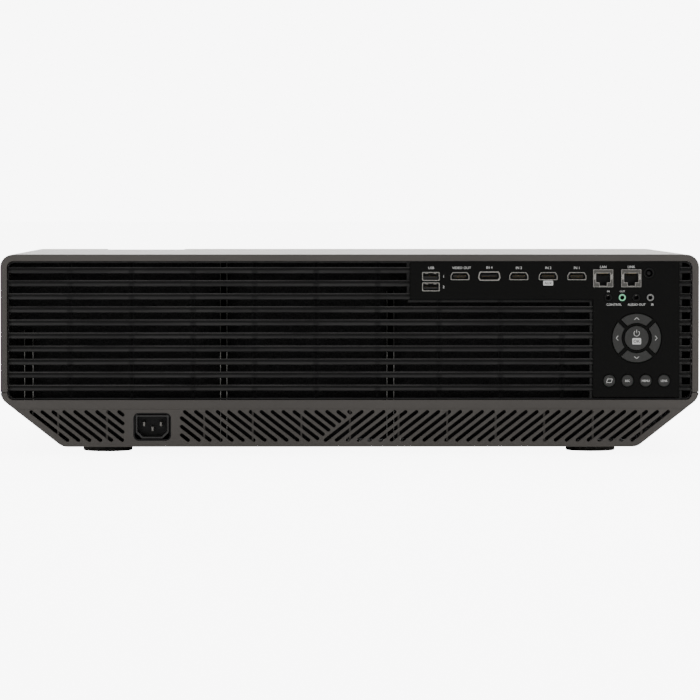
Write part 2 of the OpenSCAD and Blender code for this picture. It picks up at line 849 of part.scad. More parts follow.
module lens_surround() {
  color("#181818")
  difference() {
    rod_y(lens_x, lens_z, surround_r + surround_lip, front_y - frame_step - 4,
      front_y - frame_step + 0.4);
    rod_y(lens_x, lens_z, surround_r, 0, far);
  }
  color("#181818")
  difference() {
    rod_y(lens_x, lens_z, surround_r + 1.6, funnel_y, front_y - frame_step - 3.9);
    rod_y(lens_x, lens_z, surround_r, 0, far);
  }
}

base_w = 84;
end_x = 78;
carriage_half = 66;
guide_lug = 5;
drive_r = 2.5;
guide_x_y = base_y + plate_thick + 4.5;
guide_z_y = carriage_x_y + plate_thick + 4.5;
drive_x_z = lens_z - 62;
drive_z_x = lens_x + 46;
lug_d = 7.7;

// The fixed frame stands on the case floor and is trimmed to the bevel.
module shift_base() {
  color("#8f9295")
  intersection() {
    slab_y(0, front_y) polygon(case_outline(wall + 0.2));
    union() {
      difference() {
        block(lens_x - base_w, lens_x + base_w, base_y, base_y + plate_thick, 0, lens_z + 56);
        rod_y(lens_x, lens_z, swing_r, 0, far);
      }
      block(lens_x - base_w, lens_x + base_w, base_y - 15, base_y + plate_thick, 0, wall + 4.2);
      for (side = [-1, 1]) {
        for (end = [-1, 1])
          block(lens_x + end * end_x - guide_lug, lens_x + end * end_x + guide_lug,
            base_y + plate_thick - bite, base_y + plate_thick + lug_d,
            lens_z + side * rod_x_z - guide_lug, lens_z + side * rod_x_z + guide_lug);
        rod_x(lens_x - end_x, lens_x + end_x, guide_x_y, lens_z + side * rod_x_z, rod_r);
      }
      difference() {
        for (end = [-1, 1])
          block(lens_x + end * end_x - guide_lug, lens_x + end * end_x + guide_lug,
            base_y + plate_thick - bite, base_y + plate_thick + lug_d, drive_x_z - 4.5,
            drive_x_z + 4.5);
        rod_x(-far, far, guide_x_y, drive_x_z, drive_r + run_gap);
      }
    }
  }
}

module shift_carriage_x() {
  color("#6d7073") {
    difference() {
      union() {
        block(lens_x - carriage_half, lens_x + carriage_half, carriage_x_y,
          carriage_x_y + plate_thick, lens_z - 56, lens_z + 56);
        for (side = [-1, 1], end = [-1, 1])
          block(lens_x + end * 50 - 6, lens_x + end * 50 + 6, base_y + plate_thick + 0.4,
            carriage_x_y + bite, lens_z + side * rod_x_z - guide_lug,
            lens_z + side * rod_x_z + guide_lug);
        block(lens_x - 6, lens_x + 6, base_y + plate_thick + 0.4, carriage_x_y + plate_thick,
          drive_x_z - 4.5, lens_z - 50);
        for (end = [-1, 1]) {
          block(drive_z_x - 5, lens_x + rod_z_x + 4.5, carriage_x_y + plate_thick - bite,
            carriage_x_y + plate_thick + lug_d, lens_z + end * 51.5 - 4.5,
            lens_z + end * 51.5 + 4.5);
          block(lens_x - rod_z_x - 4.5, lens_x - rod_z_x + 4.5, carriage_x_y + plate_thick - bite,
            carriage_x_y + plate_thick + lug_d, lens_z + end * 51.5 - 4.5,
            lens_z + end * 51.5 + 4.5);
        }
      }
      rod_y(lens_x, lens_z, swing_r - 4, 0, far);
      for (side = [-1, 1])
        rod_x(-far, far, guide_x_y, lens_z + side * rod_x_z, rod_r + run_gap);
      rod_x(-far, far, guide_x_y, drive_x_z, drive_r + run_gap);
      rod_z(drive_z_x, guide_z_y, drive_r + run_gap, -far, far);
    }
    for (side = [-1, 1])
      rod_z(lens_x + side * rod_z_x, guide_z_y, rod_r, lens_z - 52, lens_z + 52);
  }
}

module shift_screw_x() {
  color("#a7a7a7") {
    rod_x(lens_x - end_x - 4.5, lens_x + end_x + 6, guide_x_y, drive_x_z, drive_r);
    rod_x(lens_x + end_x + guide_lug + fit_gap, lens_x + end_x + 12, guide_x_y, drive_x_z, 4);
  }
}

module shift_carriage_z() {
  color("#5b5e61")
  difference() {
    union() {
      block(lens_x - carriage_half, lens_x + carriage_half, carriage_z_y,
        carriage_z_y + plate_thick, lens_z - 46, lens_z + 34);
      block(lens_x - rod_z_x - 6, lens_x - rod_z_x + 6, carriage_x_y + plate_thick + 0.4,
        carriage_z_y + bite, lens_z - 30, lens_z + 30);
      block(drive_z_x - 5, lens_x + rod_z_x + 6, carriage_x_y + plate_thick + 0.4,
        carriage_z_y + bite, lens_z - 30, lens_z + 30);
    }
    rod_y(lens_x, lens_z, barrel_rear_r + run_gap, 0, far);
    for (side = [-1, 1]) rod_z(lens_x + side * rod_z_x, guide_z_y, rod_r + run_gap, -far, far);
    rod_z(drive_z_x, guide_z_y, drive_r + run_gap, -far, far);
  }
}

module shift_screw_z() {
  color("#a7a7a7") {
    rod_z(drive_z_x, guide_z_y, drive_r, lens_z - 58, lens_z + 55);
    rod_z(drive_z_x, guide_z_y, 4, lens_z - 62, lens_z - 56 - fit_gap);
  }
}

barrel_y0 = base_y - 6;
zoom_y0 = 140;
focus_y0 = 158;
ring_w = 8;
ring_bore_r = barrel_r - 1.5;
tooth_h = 0.8;
pitch_r = ring_teeth * gear_m / 2;
pinion_pitch_r = pinion_teeth * gear_m / 2;
gear_gap = 0.25;
pinion_a = -52;
pinion_x = lens_x + (pitch_r + pinion_pitch_r) * cos(pinion_a);
pinion_z = lens_z + (pitch_r + pinion_pitch_r) * sin(pinion_a);
barrel_front_y = 172;

module lens_barrel() {
  color("#262626")
  difference() {
    union() {
      rod_y(lens_x, lens_z, barrel_rear_r, barrel_y0, carriage_z_y + plate_thick + 0.2);
      rod_y(lens_x, lens_z, barrel_rear_r + 5, carriage_z_y + plate_thick + 0.1, zoom_y0 - 2);
      rod_y(lens_x, lens_z, ring_bore_r - run_gap, zoom_y0 - 3, barrel_front_y);
      rod_y(lens_x, lens_z, barrel_r + 1, zoom_y0 + ring_w + 1, focus_y0 - 1);
      // The ear carries the focus motor.
      translate([lens_x, focus_y0 + ring_w + 1, lens_z]) rotate([0, -pinion_a, 0])
        translate([ring_bore_r - 2, 0, -8]) cube([24, 3, 16]);
    }
    rod_y(lens_x, lens_z, barrel_rear_r - 3, barrel_y0 - 1, barrel_front_y + 1);
    rod_y(pinion_x, pinion_z, 2, focus_y0, barrel_front_y);
  }
}

// Involute flank: the point where a tooth's side has radius r, as an angle from the tooth's middle.
function involute(r, pitch, base) = let (
  turn = acos(min(1, base / r)), ref = acos(base / pitch))
  (tan(ref) - tan(turn)) * 180 / PI - ref + turn;

// One tooth's outline round the origin, pointing along +X.
module tooth(pitch) {
  base = pitch * cos(20);
  half = asin((gear_m * PI / 4 - gear_gap / 2) / pitch);
  radii = [for (i = [0 : 4]) max(base, pitch - tooth_h * gear_m) + i / 4 * (pitch + tooth_h * gear_m
    - max(base, pitch - tooth_h * gear_m))];
  flank = [for (r = radii) [r, half + involute(r, pitch, base)]];
  root = pitch - 1.6 * gear_m;
  polygon(concat(
    [[root * cos(flank[0][1]), -root * sin(flank[0][1])]],
    [for (f = flank) [f[0] * cos(f[1]), -f[0] * sin(f[1])]],
    [for (i = [4 : -1 : 0]) [flank[i][0] * cos(flank[i][1]), flank[i][0] * sin(flank[i][1])]],
    [[root * cos(flank[0][1]), root * sin(flank[0][1])]]));
}

// A ring turning on the barrel, toothed where its pinion runs.
module toothed_ring(y0, first, last) {
  difference() {
    union() {
      rod_y(lens_x, lens_z, pitch_r - 1.25 * gear_m, y0, y0 + ring_w);
      slab_y(y0, y0 + ring_w) translate([lens_x, lens_z])
        for (i = [first : last]) rotate(pinion_a + i * 360 / ring_teeth) tooth(pitch_r);
    }
    rod_y(lens_x, lens_z, ring_bore_r, y0 - 1, y0 + ring_w + 1);
  }
}

module zoom_ring() { color("#303030") toothed_ring(zoom_y0, -10, 10); }
module focus_ring() { color("#303030") toothed_ring(focus_y0, -14, 14); }

// Half a tooth of turn puts a gap opposite the ring's tooth.
module pinion(y0) {
  slab_y(y0 - 0.5, y0 + ring_w + 0.5) translate([pinion_x, pinion_z])
    for (i = [0 : pinion_teeth - 1])
      rotate(pinion_a + 180 + (i + 0.5) * 360 / pinion_teeth) tooth(pinion_pitch_r);
  rod_y(pinion_x, pinion_z, pinion_pitch_r - 1.25 * gear_m, y0 - 0.5, y0 + ring_w + 0.5);
}

module zoom_pinion() {
  color("#d9d4c4") {
    pinion(zoom_y0);
    rod_y(pinion_x, pinion_z, 1.5, zoom_y0 - 4, zoom_y0);
  }
}

module focus_pinion() {
  color("#d9d4c4") {
    pinion(focus_y0);
    rod_y(pinion_x, pinion_z, 1.5, focus_y0, focus_y0 + ring_w + 7);
  }
}

// The zoom motor stands behind its pinion and the focus motor in front of its own.
module lens_motors() {
  color("#9a9a9a") {
    difference() {
      rod_y(pinion_x, pinion_z, 7, carriage_z_y + plate_thick + 0.2, zoom_y0 - 0.8);
      rod_y(pinion_x, pinion_z, 1.5 + run_gap, zoom_y0 - 5, zoom_y0);
    }
    difference() {
      rod_y(pinion_x, pinion_z, 7, focus_y0 + ring_w + 4.2, focus_y0 + ring_w + 16);
      rod_y(pinion_x, pinion_z, 1.5 + run_gap, focus_y0, focus_y0 + ring_w + 8);
    }
  }
}

focus_y1 = front_y - 9 - focus_travel / 2;

module focus_barrel() {
  color("#1c1c1c")
  difference() {
    union() {
      rod_y(lens_x, lens_z, barrel_r, barrel_front_y + focus_travel / 2 + 1, focus_y1);
      rod_y(lens_x, lens_z, barrel_rear_r - 3 - run_gap, barrel_front_y - 20, focus_y1 - 4);
    }
    rod_y(lens_x, lens_z, barrel_rear_r - 6, 0, far);
    rod_y(lens_x, lens_z, barrel_r - 5, focus_y1 - 12, far);
  }
}

glass_bulge = 5;

module front_lens() {
  r = barrel_r - 5 - 0.1;
  ball = (r * r + glass_bulge * glass_bulge) / (2 * glass_bulge);
  color("#6f8ca8", 0.5)
  intersection() {
    rod_y(lens_x, lens_z, r, focus_y1 - 11.9, focus_y1);
    translate([lens_x, focus_y1 - 2 - ball, lens_z]) sphere(r = ball, $fn = 240);
  }
}

// ---- light source ---------------------------------------------------------------------------

engine_x0 = lens_x - 58;
engine_x1 = lens_x + 72;
engine_y0 = -20;
engine_y1 = base_y - 17;
engine_z0 = 40;
engine_z1 = 140;
wheel_r = 32;
wheel_x = engine_x1 - wheel_r - 8;
wheel_y = engine_y0 + 30;
wheel_z = 90;

module engine_housing() {
  color("#9b9ea1")
  difference() {
    union() {
      block(engine_x0, engine_x1, engine_y0, engine_y1, engine_z0, engine_z1);
      for (x = [engine_x0 + 16, engine_x1 - 8], y = [engine_y0 + 8, engine_y1 - 8])
        rod_z(x, y, 5, wall + 0.2, engine_z0 + bite);
    }
    block(engine_x0 + 4, engine_x1 - 4, engine_y0 + 4, engine_y1 - 4, engine_z0 + 4, engine_z1 - 4);
    rod_y(lens_x, lens_z, 24, engine_y1 - 6, engine_y1 + 1);
    rod_x(engine_x1 - 6, engine_x1 + 1, wheel_y + 20, wheel_z, 14);
  }
  // The wheel's motor stands on the rear wall.
  color("#3a3a3a")
  difference() {
    rod_y(wheel_x, wheel_z, 12, engine_y0 + 4, wheel_y - 2);
    rod_y(wheel_x, wheel_z, 2 + run_gap, engine_y0 + 8, wheel_y);
  }
}

module phosphor_wheel() {
  color("#d8c060") {
    difference() {
      rod_y(wheel_x, wheel_z, wheel_r, wheel_y, wheel_y + 1.2);
      for (a = [0 : 60 : 300])
        rod_y(wheel_x + 16 * cos(a), wheel_z + 16 * sin(a), 3, wheel_y - 1, wheel_y + 2);
    }
    rod_y(wheel_x, wheel_z, 2, engine_y0 + 9, wheel_y + 4);
    rod_y(wheel_x, wheel_z, 9, wheel_y + 1, wheel_y + 4);
  }
}

laser_x0 = engine_x1 + fit_gap;
laser_x1 = laser_x0 + 110;
laser_y0 = -30;
laser_y1 = 75;
laser_z0 = 40;
laser_z1 = 138;
pipe_r = 4;
pipe_z = 130;
pipe_xs = [laser_x0 + 22, laser_x0 + 50, laser_x0 + 78];
sink_y0 = rear_y + 36;
sink_y1 = sink_y0 + 80;
fin_pitch = 5;
fin_t = 1;
fin_count = 22;

module laser_module() {
  color("#7d8084")
  difference() {
    union() {
      block(laser_x0, laser_x1, laser_y0, laser_y1, laser_z0, laser_z1);
      for (x = [laser_x0 + 8, laser_x1 - 8], y = [laser_y0 + 8, laser_y1 - 8])
        rod_z(x, y, 5, wall + 0.2, laser_z0 + bite);
    }
    block(laser_x0 + 4, laser_x1 - 4, laser_y0 + 4, laser_y1 - 4, laser_z0 + 4, laser_z1 - 16);
    rod_x(laser_x0 - 1, laser_x0 + 5, wheel_y + 20, wheel_z, 14);
    for (x = pipe_xs) rod_y(x, pipe_z, pipe_r, laser_y0 - 1, laser_y1 - 6);
  }
}

module heat_sink() {
  color("#a9acaf")
  difference() {
    union() {
      block(laser_x0, laser_x0 + fin_pitch * (fin_count - 1) + fin_t, sink_y0, sink_y1,
        pipe_z - 7, pipe_z + 7);
      for (i = [0 : fin_count - 1])
        block(laser_x0 + i * fin_pitch, laser_x0 + i * fin_pitch + fin_t, sink_y0, sink_y1,
          48, pipe_z - 7 + bite);
      for (i = [1, fin_count - 2], y = [sink_y0 + 6, sink_y1 - 6])
        rod_z(laser_x0 + i * fin_pitch + fin_t / 2, y, 3, wall + 0.2, 50);
    }
    for (x = pipe_xs) rod_y(x, pipe_z, pipe_r, sink_y0 - 1, sink_y1 + 1);
  }
}

module heat_pipes() {
  color("#b87545")
  for (x = pipe_xs) rod_y(x, pipe_z, pipe_r - run_gap, sink_y0 - 1, laser_y1 - 7);
}

// ---- fans -----------------------------------------------------------------------------------

fan_y0 = front_y - 50;
fan_z = window_mid;
fan_right_x = window_half - fan_size / 2 - 40;
fan_left_x = fan_right_x - fan_size - 18;

module fan_frame(x) {
  difference() {
    union() {
      block(x - fan_size / 2, x + fan_size / 2, fan_y0, fan_y0 + fan_d,
        fan_z - fan_size / 2, fan_z + fan_size / 2);
      block(x - 28, x + 28, fan_y0 + 4, fan_y0 + fan_d - 4, wall + 0.2, fan_z - fan_size / 2 + bite);
    }
    difference() {
      rod_y(x, fan_z, fan_size / 2 - 2, fan_y0 - 1, fan_y0 + fan_d + 1);
      rod_y(x, fan_z, 18, fan_y0 - 2, fan_y0 + 3);
      block(x - fan_size / 2, x + fan_size / 2, fan_y0 - 2, fan_y0 + 3, fan_z - 2.5, fan_z + 2.5);
      block(x - 2.5, x + 2.5, fan_y0 - 2, fan_y0 + 3, fan_z - fan_size / 2, fan_z + fan_size / 2);
    }
    rod_y(x, fan_z, 2 + run_gap, fan_y0 - 3, fan_y0 + 4);
    for (sx = [-1, 1], sz = [-1, 1])
      rod_y(x + sx * (fan_size / 2 - 5), fan_z + sz * (fan_size / 2 - 5), 2, fan_y0 - 1,
        fan_y0 + fan_d + 1);
  }
}

module fan_frames() {
  color("#1b1b1b") {
    fan_frame(fan_left_x);
    fan_frame(fan_right_x);
  }
}

module fan_rotor(x) {
  color("#2b2b2b") {
    rod_y(x, fan_z, 18, fan_y0 + 4, fan_y0 + fan_d - 2);
    rod_y(x, fan_z, 2, fan_y0 + 0.5, fan_y0 + 5);
    for (i = [0 : fan_blades - 1])
      translate([x, fan_y0 + fan_d / 2 + 1, fan_z]) rotate([0, i * 360 / fan_blades, 0])
        translate([17, 0, 0]) rotate([32, 0, 0])
          translate([0, -0.75, -10]) cube([fan_size / 2 - 22, 1.5, 20]);
  }
}

// ---- boards, speakers and brackets ----------------------------------------------------------

psu_x0 = inlet_x - 27;
psu_x1 = inlet_x + 44;
psu_y0 = rear_y + 36;
psu_y1 = -30;

module power_supply() {
  color("#3c6b45") {
    block(psu_x0, psu_x1, psu_y0, psu_y1, 8, 9.6);
    for (x = [psu_x0 + 5, psu_x1 - 5], y = [psu_y0 + 5, psu_y1 - 5])
      rod_z(x, y, 3, wall + 0.1, 8 + bite);
    block(psu_x0 + 8, psu_x0 + 40, psu_y0 + 50, psu_y0 + 86, 9.6 - bite, 40);
    for (i = [0 : 2]) rod_z(psu_x0 + 55, psu_y0 + 30 + i * 32, 11, 9.6 - bite, 42);
    block(psu_x0 + 10, psu_x0 + 36, psu_y0 + 12, psu_y0 + 36, 9.6 - bite, 30);
  }
}

board_x0 = 45;
board_x1 = 186;

module main_board() {
  color("#1f4a35") {
    block(board_x0, board_x1, rear_y + 35, 78, 18, 19.6);
    for (x = [board_x0 + 6, board_x1 - 6], y = [rear_y + 41, 72]) rod_z(x, y, 3, wall + 0.1, 18 + bite);
    block(board_x0 + 30, board_x0 + 75, -90, -45, 19.6 - bite, 26);
    for (i = [0 : 7]) block(board_x0 + 31 + i * 6, board_x0 + 33 + i * 6, -89, -46, 26 - bite, 40);
    block(board_x0 + 90, board_x0 + 130, -60, -20, 19.6 - bite, 23);
    block(board_x0 + 10, board_x0 + 60, 20, 32, 19.6 - bite, 30);
  }
}

speaker_w = 76;

module speakers() {
  color("#222222")
  for (x = [-60, 18])
    difference() {
      block(x - speaker_w / 2, x + speaker_w / 2, front_y - 52, front_y - wall - stiffener_d - 1,
        wall + 0.2, 37);
      rod_y(x - 18, 20, 13, front_y - 20, front_y);
      rod_y(x + 18, 20, 13, front_y - 20, front_y);
    }
}

bracket_d = 9;

module bracket(x0, x1, z0, z1) {
  y0 = slat_y + slat_d + 8;
  intersection() {
    slab_y(y0, y0 + bracket_d) polygon(case_outline(wall + 0.2));
    difference() {
      block(x0, x1, y0, y0 + bracket_d, z0, z1);
      block(x0 + 1, x1 - 1, y0 - 1, y0 + bracket_d - 1, z0 + 12, z1 - 3);
    }
  }
}

module support_brackets() {
  color("#c4c4c0") {
    bracket(laser_x0 + 2.4, laser_x0 + 8.2, 0, case_h - wall - 1);
    bracket(-window_half + 13, -window_half + 20.5, 0, window_mid);
    bracket(plate_left - 19, plate_left - 12.8, 0, window_top - 25);
  }
}

module case_screws() {
  color("#3f3f3f") {
    screw_spots() cylinder(r = screw_r, h = screw_head_h - 0.1);
    for (x = [service_x0 + 12, service_x1 - 12], y = [service_y0 + 12, cover_y - service_margin - 12])
      rod_z(x, y, screw_r, case_h - 0.95, case_h - 0.1);
  }
}

// ---- feet -----------------------------------------------------------------------------------

pad_t = foot_h - 0.6;
pad_edge = 1.6;

// A foot's disc with a rounded lower rim and a thin groove under its top.
module foot_disc() {
  translate([0, 0, -foot_h])
    rotate_extrude() polygon(concat(
      [[0, 0], [foot_r - pad_edge - 0.5, 0]],
      arc(foot_r - pad_edge, pad_edge, pad_edge, -60, 0),
      [[foot_r, pad_t - 2.4], [foot_r - 0.8, pad_t - 2], [foot_r - 0.8, pad_t], [0, pad_t]]));
}

module foot_stud(x) {
  color("#8a8a8a") {
    rod_z(x, foot_y, stud_r, -foot_h + 4, stud_len);
  }
}

module foot_pad(x) {
  color("#171717")
  translate([x, foot_y, 0]) difference() {
    foot_disc();
    translate([0, 0, -foot_h + 4 - 0.1]) cylinder(r = stud_r + run_gap, h = far);
  }
}

module rear_feet() {
  color("#171717")
  for (x = [-foot_x, foot_x]) translate([x, -foot_y, 0]) {
    foot_disc();
    translate([0, 0, -foot_h + pad_t - bite])
      cylinder(r = stud_r - run_gap, h = foot_h + 1 - pad_t + wall + bite);
  }
}

// ---- nodes, lifted so that the feet stand on the origin's plane -----------------------------

module lifted() { translate([0, 0, foot_h]) children(); }

lifted() lower_case();
lifted() upper_cover();
lifted() service_cover();
lifted() rear_bezel();
lifted() front_bezel();
lifted() rear_grille();
lifted() front_grille();
lifted() io_plate();
lifted() lens_surround();
lifted() filter_door();
lifted() air_filter();
lifted() rear_filter();
lifted() ok_key();
lifted() turned_key(0);  // up_key
lifted() turned_key(90);  // left_key
lifted() turned_key(180);  // down_key
lifted() turned_key(270);  // right_key
lifted() small_key(0);  // keystone_key
lifted() small_key(1);  // escape_key
lifted() small_key(2);  // menu_key
lifted() small_key(3);  // lens_key
lifted() io_board();
lifted() usb_sockets();
lifted() video_sockets();
lifted() display_socket();
lifted() network_sockets();
lifted() round_jacks();
lifted() mains_inlet();
lifted() mains_pins();
lifted() engine_housing();
lifted() phosphor_wheel();
lifted() laser_module();
lifted() heat_sink();
lifted() heat_pipes();
lifted() shift_base();
lifted() shift_carriage_x();
lifted() shift_carriage_z();
lifted() shift_screw_x();
lifted() shift_screw_z();
lifted() lens_barrel();
lifted() zoom_ring();
lifted() focus_ring();
lifted() focus_barrel();
lifted() front_lens();
lifted() lens_motors();
lifted() zoom_pinion();
lifted() focus_pinion();
lifted() fan_frames();
lifted() fan_rotor(fan_left_x);  // fan_rotor_left
lifted() fan_rotor(fan_right_x);  // fan_rotor_right
lifted() power_supply();
lifted() main_board();
lifted() speakers();
lifted() support_brackets();
lifted() case_screws();
lifted() foot_stud(-foot_x);  // foot_stud_left
lifted() foot_stud(foot_x);  // foot_stud_right
lifted() foot_pad(-foot_x);  // foot_pad_left
lifted() foot_pad(foot_x);  // foot_pad_right
lifted() rear_feet();
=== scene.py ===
import math

import bmesh
import bpy
from mathutils import Matrix, Vector


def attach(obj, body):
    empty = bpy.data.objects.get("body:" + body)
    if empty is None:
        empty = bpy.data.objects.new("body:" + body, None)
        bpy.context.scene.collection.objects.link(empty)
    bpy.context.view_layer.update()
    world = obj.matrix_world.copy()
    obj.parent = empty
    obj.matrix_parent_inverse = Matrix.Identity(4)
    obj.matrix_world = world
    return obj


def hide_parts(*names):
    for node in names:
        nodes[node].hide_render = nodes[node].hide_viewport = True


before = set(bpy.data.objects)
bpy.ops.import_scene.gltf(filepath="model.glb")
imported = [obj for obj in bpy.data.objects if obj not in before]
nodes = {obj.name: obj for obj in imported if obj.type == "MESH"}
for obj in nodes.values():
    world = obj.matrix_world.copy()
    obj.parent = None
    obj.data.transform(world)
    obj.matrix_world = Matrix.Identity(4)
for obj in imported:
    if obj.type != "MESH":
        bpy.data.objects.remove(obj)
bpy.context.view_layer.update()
scene = bpy.context.scene
mm = 0.001
scatterSeed = 7  # every random spread starts from this
print("frame loaded:", len(nodes), "nodes")


# Shader maths: a wire is a socket that can be added, scaled and compared
class Wire:
    def __init__(self, shader, socket):
        self.shader = shader
        self.socket = socket

    def maths(self, operation, other=None, flipped=False):
        pair = [other, self] if flipped else [self, other]
        node = self.shader.node("ShaderNodeMath", {"operation": operation}, [v for v in pair if v is not None])
        return Wire(self.shader, node.outputs[0])

    def __gt__(self, other):
        return self.maths("GREATER_THAN", other)

    def __lt__(self, other):
        return self.maths("LESS_THAN", other)

    def band(self, low, high):  # 0 below low, 1 above high, smooth between
        node = self.shader.node("ShaderNodeMapRange", {"interpolation_type": "SMOOTHSTEP"},
                                {"Value": self, "From Min": low, "From Max": high})
        return Wire(self.shader, node.outputs[0])


def operator(operation, flipped=False):
    return lambda wire, other: wire.maths(operation, other, flipped)


for sign, operation in (("add", "ADD"), ("sub", "SUBTRACT"), ("mul", "MULTIPLY"), ("pow", "POWER")):
    setattr(Wire, "__" + sign + "__", operator(operation))
    setattr(Wire, "__r" + sign + "__", operator(operation, True))


class Shader:
    def __init__(self, name, color, roughness=0.5, **fixed):
        self.material = bpy.data.materials.new(name)
        self.material.use_nodes = True
        self.tree = self.material.node_tree
        self.bsdf = self.tree.nodes["Principled BSDF"]
        self.bsdf.inputs["Base Color"].default_value = (*color, 1)
        self.bsdf.inputs["Roughness"].default_value = roughness
        for key, value in fixed.items():
            self.bsdf.inputs[key.replace("_", " ")].default_value = value
        self.normal = None

    def put(self, socket, value):
        if isinstance(value, Wire):
            self.tree.links.new(value.socket, socket)
        elif isinstance(value, (tuple, list)) and socket.type == "RGBA":
            socket.default_value = (*value[:3], 1)
        else:
            socket.default_value = value

    def node(self, kind, settings=None, inputs=None):
        node = self.tree.nodes.new(kind)
        for key, value in (settings or {}).items():
            setattr(node, key, value)
        pairs = enumerate(inputs) if isinstance(inputs, list) else (inputs or {}).items()
        for key, value in pairs:
            self.put(node.inputs[key], value)
        return node

    def place(self, scale=(1, 1, 1)):
        coords = Wire(self, self.node("ShaderNodeTexCoord").outputs["Object"])
        mapped = self.node("ShaderNodeMapping", {}, {"Vector": coords, "Scale": scale})
        return Wire(self, mapped.outputs[0])

    def axes(self, where=None):
        split = self.node("ShaderNodeSeparateXYZ", {}, [where or self.place()])
        return [Wire(self, split.outputs[i]) for i in range(3)]

    def noise(self, scale, detail=3.0, where=None, rough=0.5):
        made = self.node("ShaderNodeTexNoise", {}, {"Vector": where or self.place(), "Scale": scale,
                                                    "Detail": detail, "Roughness": rough})
        return Wire(self, made.outputs[0])

    def cells(self, scale):
        made = self.node("ShaderNodeTexVoronoi", {}, {"Vector": self.place(), "Scale": scale})
        return Wire(self, made.outputs["Distance"])

    def mix(self, factor, first, second):
        made = self.node("ShaderNodeMix", {"data_type": "RGBA"})
        self.put(made.inputs[0], factor)
        self.put(made.inputs[6], first)
        self.put(made.inputs[7], second)
        return Wire(self, made.outputs[2])

    def bump(self, height, strength, depth):
        made = self.node("ShaderNodeBump", {}, {"Height": height, "Strength": strength, "Distance": depth})
        if self.normal is not None:
            self.put(made.inputs["Normal"], self.normal)
        self.normal = Wire(self, made.outputs[0])
        self.put(self.bsdf.inputs["Normal"], self.normal)
        return self

    def tint(self, wire):
        self.put(self.bsdf.inputs["Base Color"], wire)
        return self

    def rough(self, wire):
        self.put(self.bsdf.inputs["Roughness"], wire)
        return self


def shade(color, gain):
    return tuple(min(1.0, c * gain) for c in color)


# Moulded plastic: a fine spark-eroded grain, a slow drift in tone and handling marks in the gloss.
def moulded(name, color, roughness=0.5, grain=1500, grainDepth=0.03, drift=0.05, **fixed):
    s = Shader(name, color, roughness, **fixed)
    slow = s.noise(9, 3)
    fine = s.noise(grain, 3, rough=0.6)
    s.tint(s.mix(slow.band(0.3, 0.7), shade(color, 1 - drift), shade(color, 1 + drift)))
    smear = s.noise(38, 5, rough=0.65)
    s.rough(roughness - 0.04 + smear * 0.08 + fine * 0.03)
    s.bump(fine, 0.35, grainDepth * mm)
    return s.material


# Cast or milled metal: grain, cloudy roughness and a little darkening in the pits.
def castMetal(name, color, roughness=0.42):
    s = Shader(name, color, roughness, Metallic=1.0)
    pits = s.noise(900, 4, rough=0.7)
    cloud = s.noise(30, 4)
    s.tint(s.mix(pits.band(0.35, 0.62), shade(color, 0.72), shade(color, 1.04)))
    s.rough(roughness - 0.08 + cloud * 0.18)
    s.bump(pits, 0.4, 0.05 * mm)
    return s.material


# Brushed or rolled sheet: long streaks along one axis.
def streakedMetal(name, color, stretch, roughness):
    s = Shader(name, color, roughness, Metallic=1.0)
    streak = s.noise(1, 4, where=s.place(stretch), rough=0.7)
    cloud = s.noise(22, 3)
    s.tint(s.mix(streak.band(0.3, 0.7), shade(color, 0.86), shade(color, 1.06)))
    s.rough(roughness - 0.06 + streak * 0.12 + cloud * 0.08)
    s.bump(streak, 0.25, 0.02 * mm)
    return s.material


palette = {
    "caseGrey": (0.083, 0.0757, 0.0685),
    "casePale": (0.74, 0.705, 0.67),
    "slatBlack": (0.026, 0.0255, 0.025),
    "plateBlack": (0.0052, 0.0052, 0.0048),
    "keyGrey": (0.042, 0.042, 0.040),
    "nickel": (0.62, 0.60, 0.56),
    "gold": (0.78, 0.57, 0.24),
    "alloy": (0.26, 0.265, 0.27),
    "copper": (0.72, 0.36, 0.22),
    "boardGreen": (0.012, 0.075, 0.045),
    "lensBlack": (0.012, 0.012, 0.0125),
    "printWhite": (0.72, 0.72, 0.70),
    "mint": (0.34, 0.92, 0.56),
}

caseGrey = moulded("caseGrey", palette["caseGrey"], 0.52, grain=1700, Specular_IOR_Level=0.35)
casePale = moulded("casePale", palette["casePale"], 0.46, grain=1700, drift=0.012)


# Louvre plastic: long streaks of painted reflection along the slats, painted shade where a rib meets each slat, a
# painted highlight along the lip at the top of each slat and painted shade in the groove under it.
def louvrePlastic(name, color, firstRib, ribPitch, ribShadeReach, topZ, slatPitch):
    s = Shader(name, color, 0.42, Specular_IOR_Level=0.24)
    x, _, z = s.axes()
    # Long streaks along the slats: painted reflection in the tint, and a real change of gloss in the roughness.
    sheenStreaks = s.noise(1, 4, where=s.place((14, 60, 260)), rough=0.6)
    # Painted shade: each slat darker where a rib stands behind it.
    along = ((x - firstRib) * (1 / ribPitch) + 0.5).maths("FRACT")
    near = ((along - 0.5).maths("ABSOLUTE") * ribPitch).band(ribShadeReach * 0.4, ribShadeReach)
    fine = s.noise(1400, 3, rough=0.6)
    base = s.mix(sheenStreaks.band(0.32, 0.68), shade(color, 0.72), shade(color, 1.3))
    base = s.mix(near, shade(color, 0.6), base)
    drop = ((topZ - z) * (1 / slatPitch)).maths("FRACT") * slatPitch
    # Painted shade in the groove under each slat's lip.
    grooveShade = drop.band(0.75 * mm, 0.95 * mm) * (1 - drop.band(2.2 * mm, 2.7 * mm))
    base = s.mix(grooveShade, base, shade(color, 0.35))
    # Painted highlight along the lip at the top of each slat, patchy along the slat.
    lipHighlight = (1 - drop.band(0.5 * mm, 0.8 * mm)) * sheenStreaks.band(0.3, 0.6)
    s.tint(s.mix(lipHighlight, base, shade(color, 2.3)))
    s.rough(0.36 + sheenStreaks * 0.1 + fine * 0.03)
    s.bump(fine, 0.35, 0.02 * mm)
    return s.material


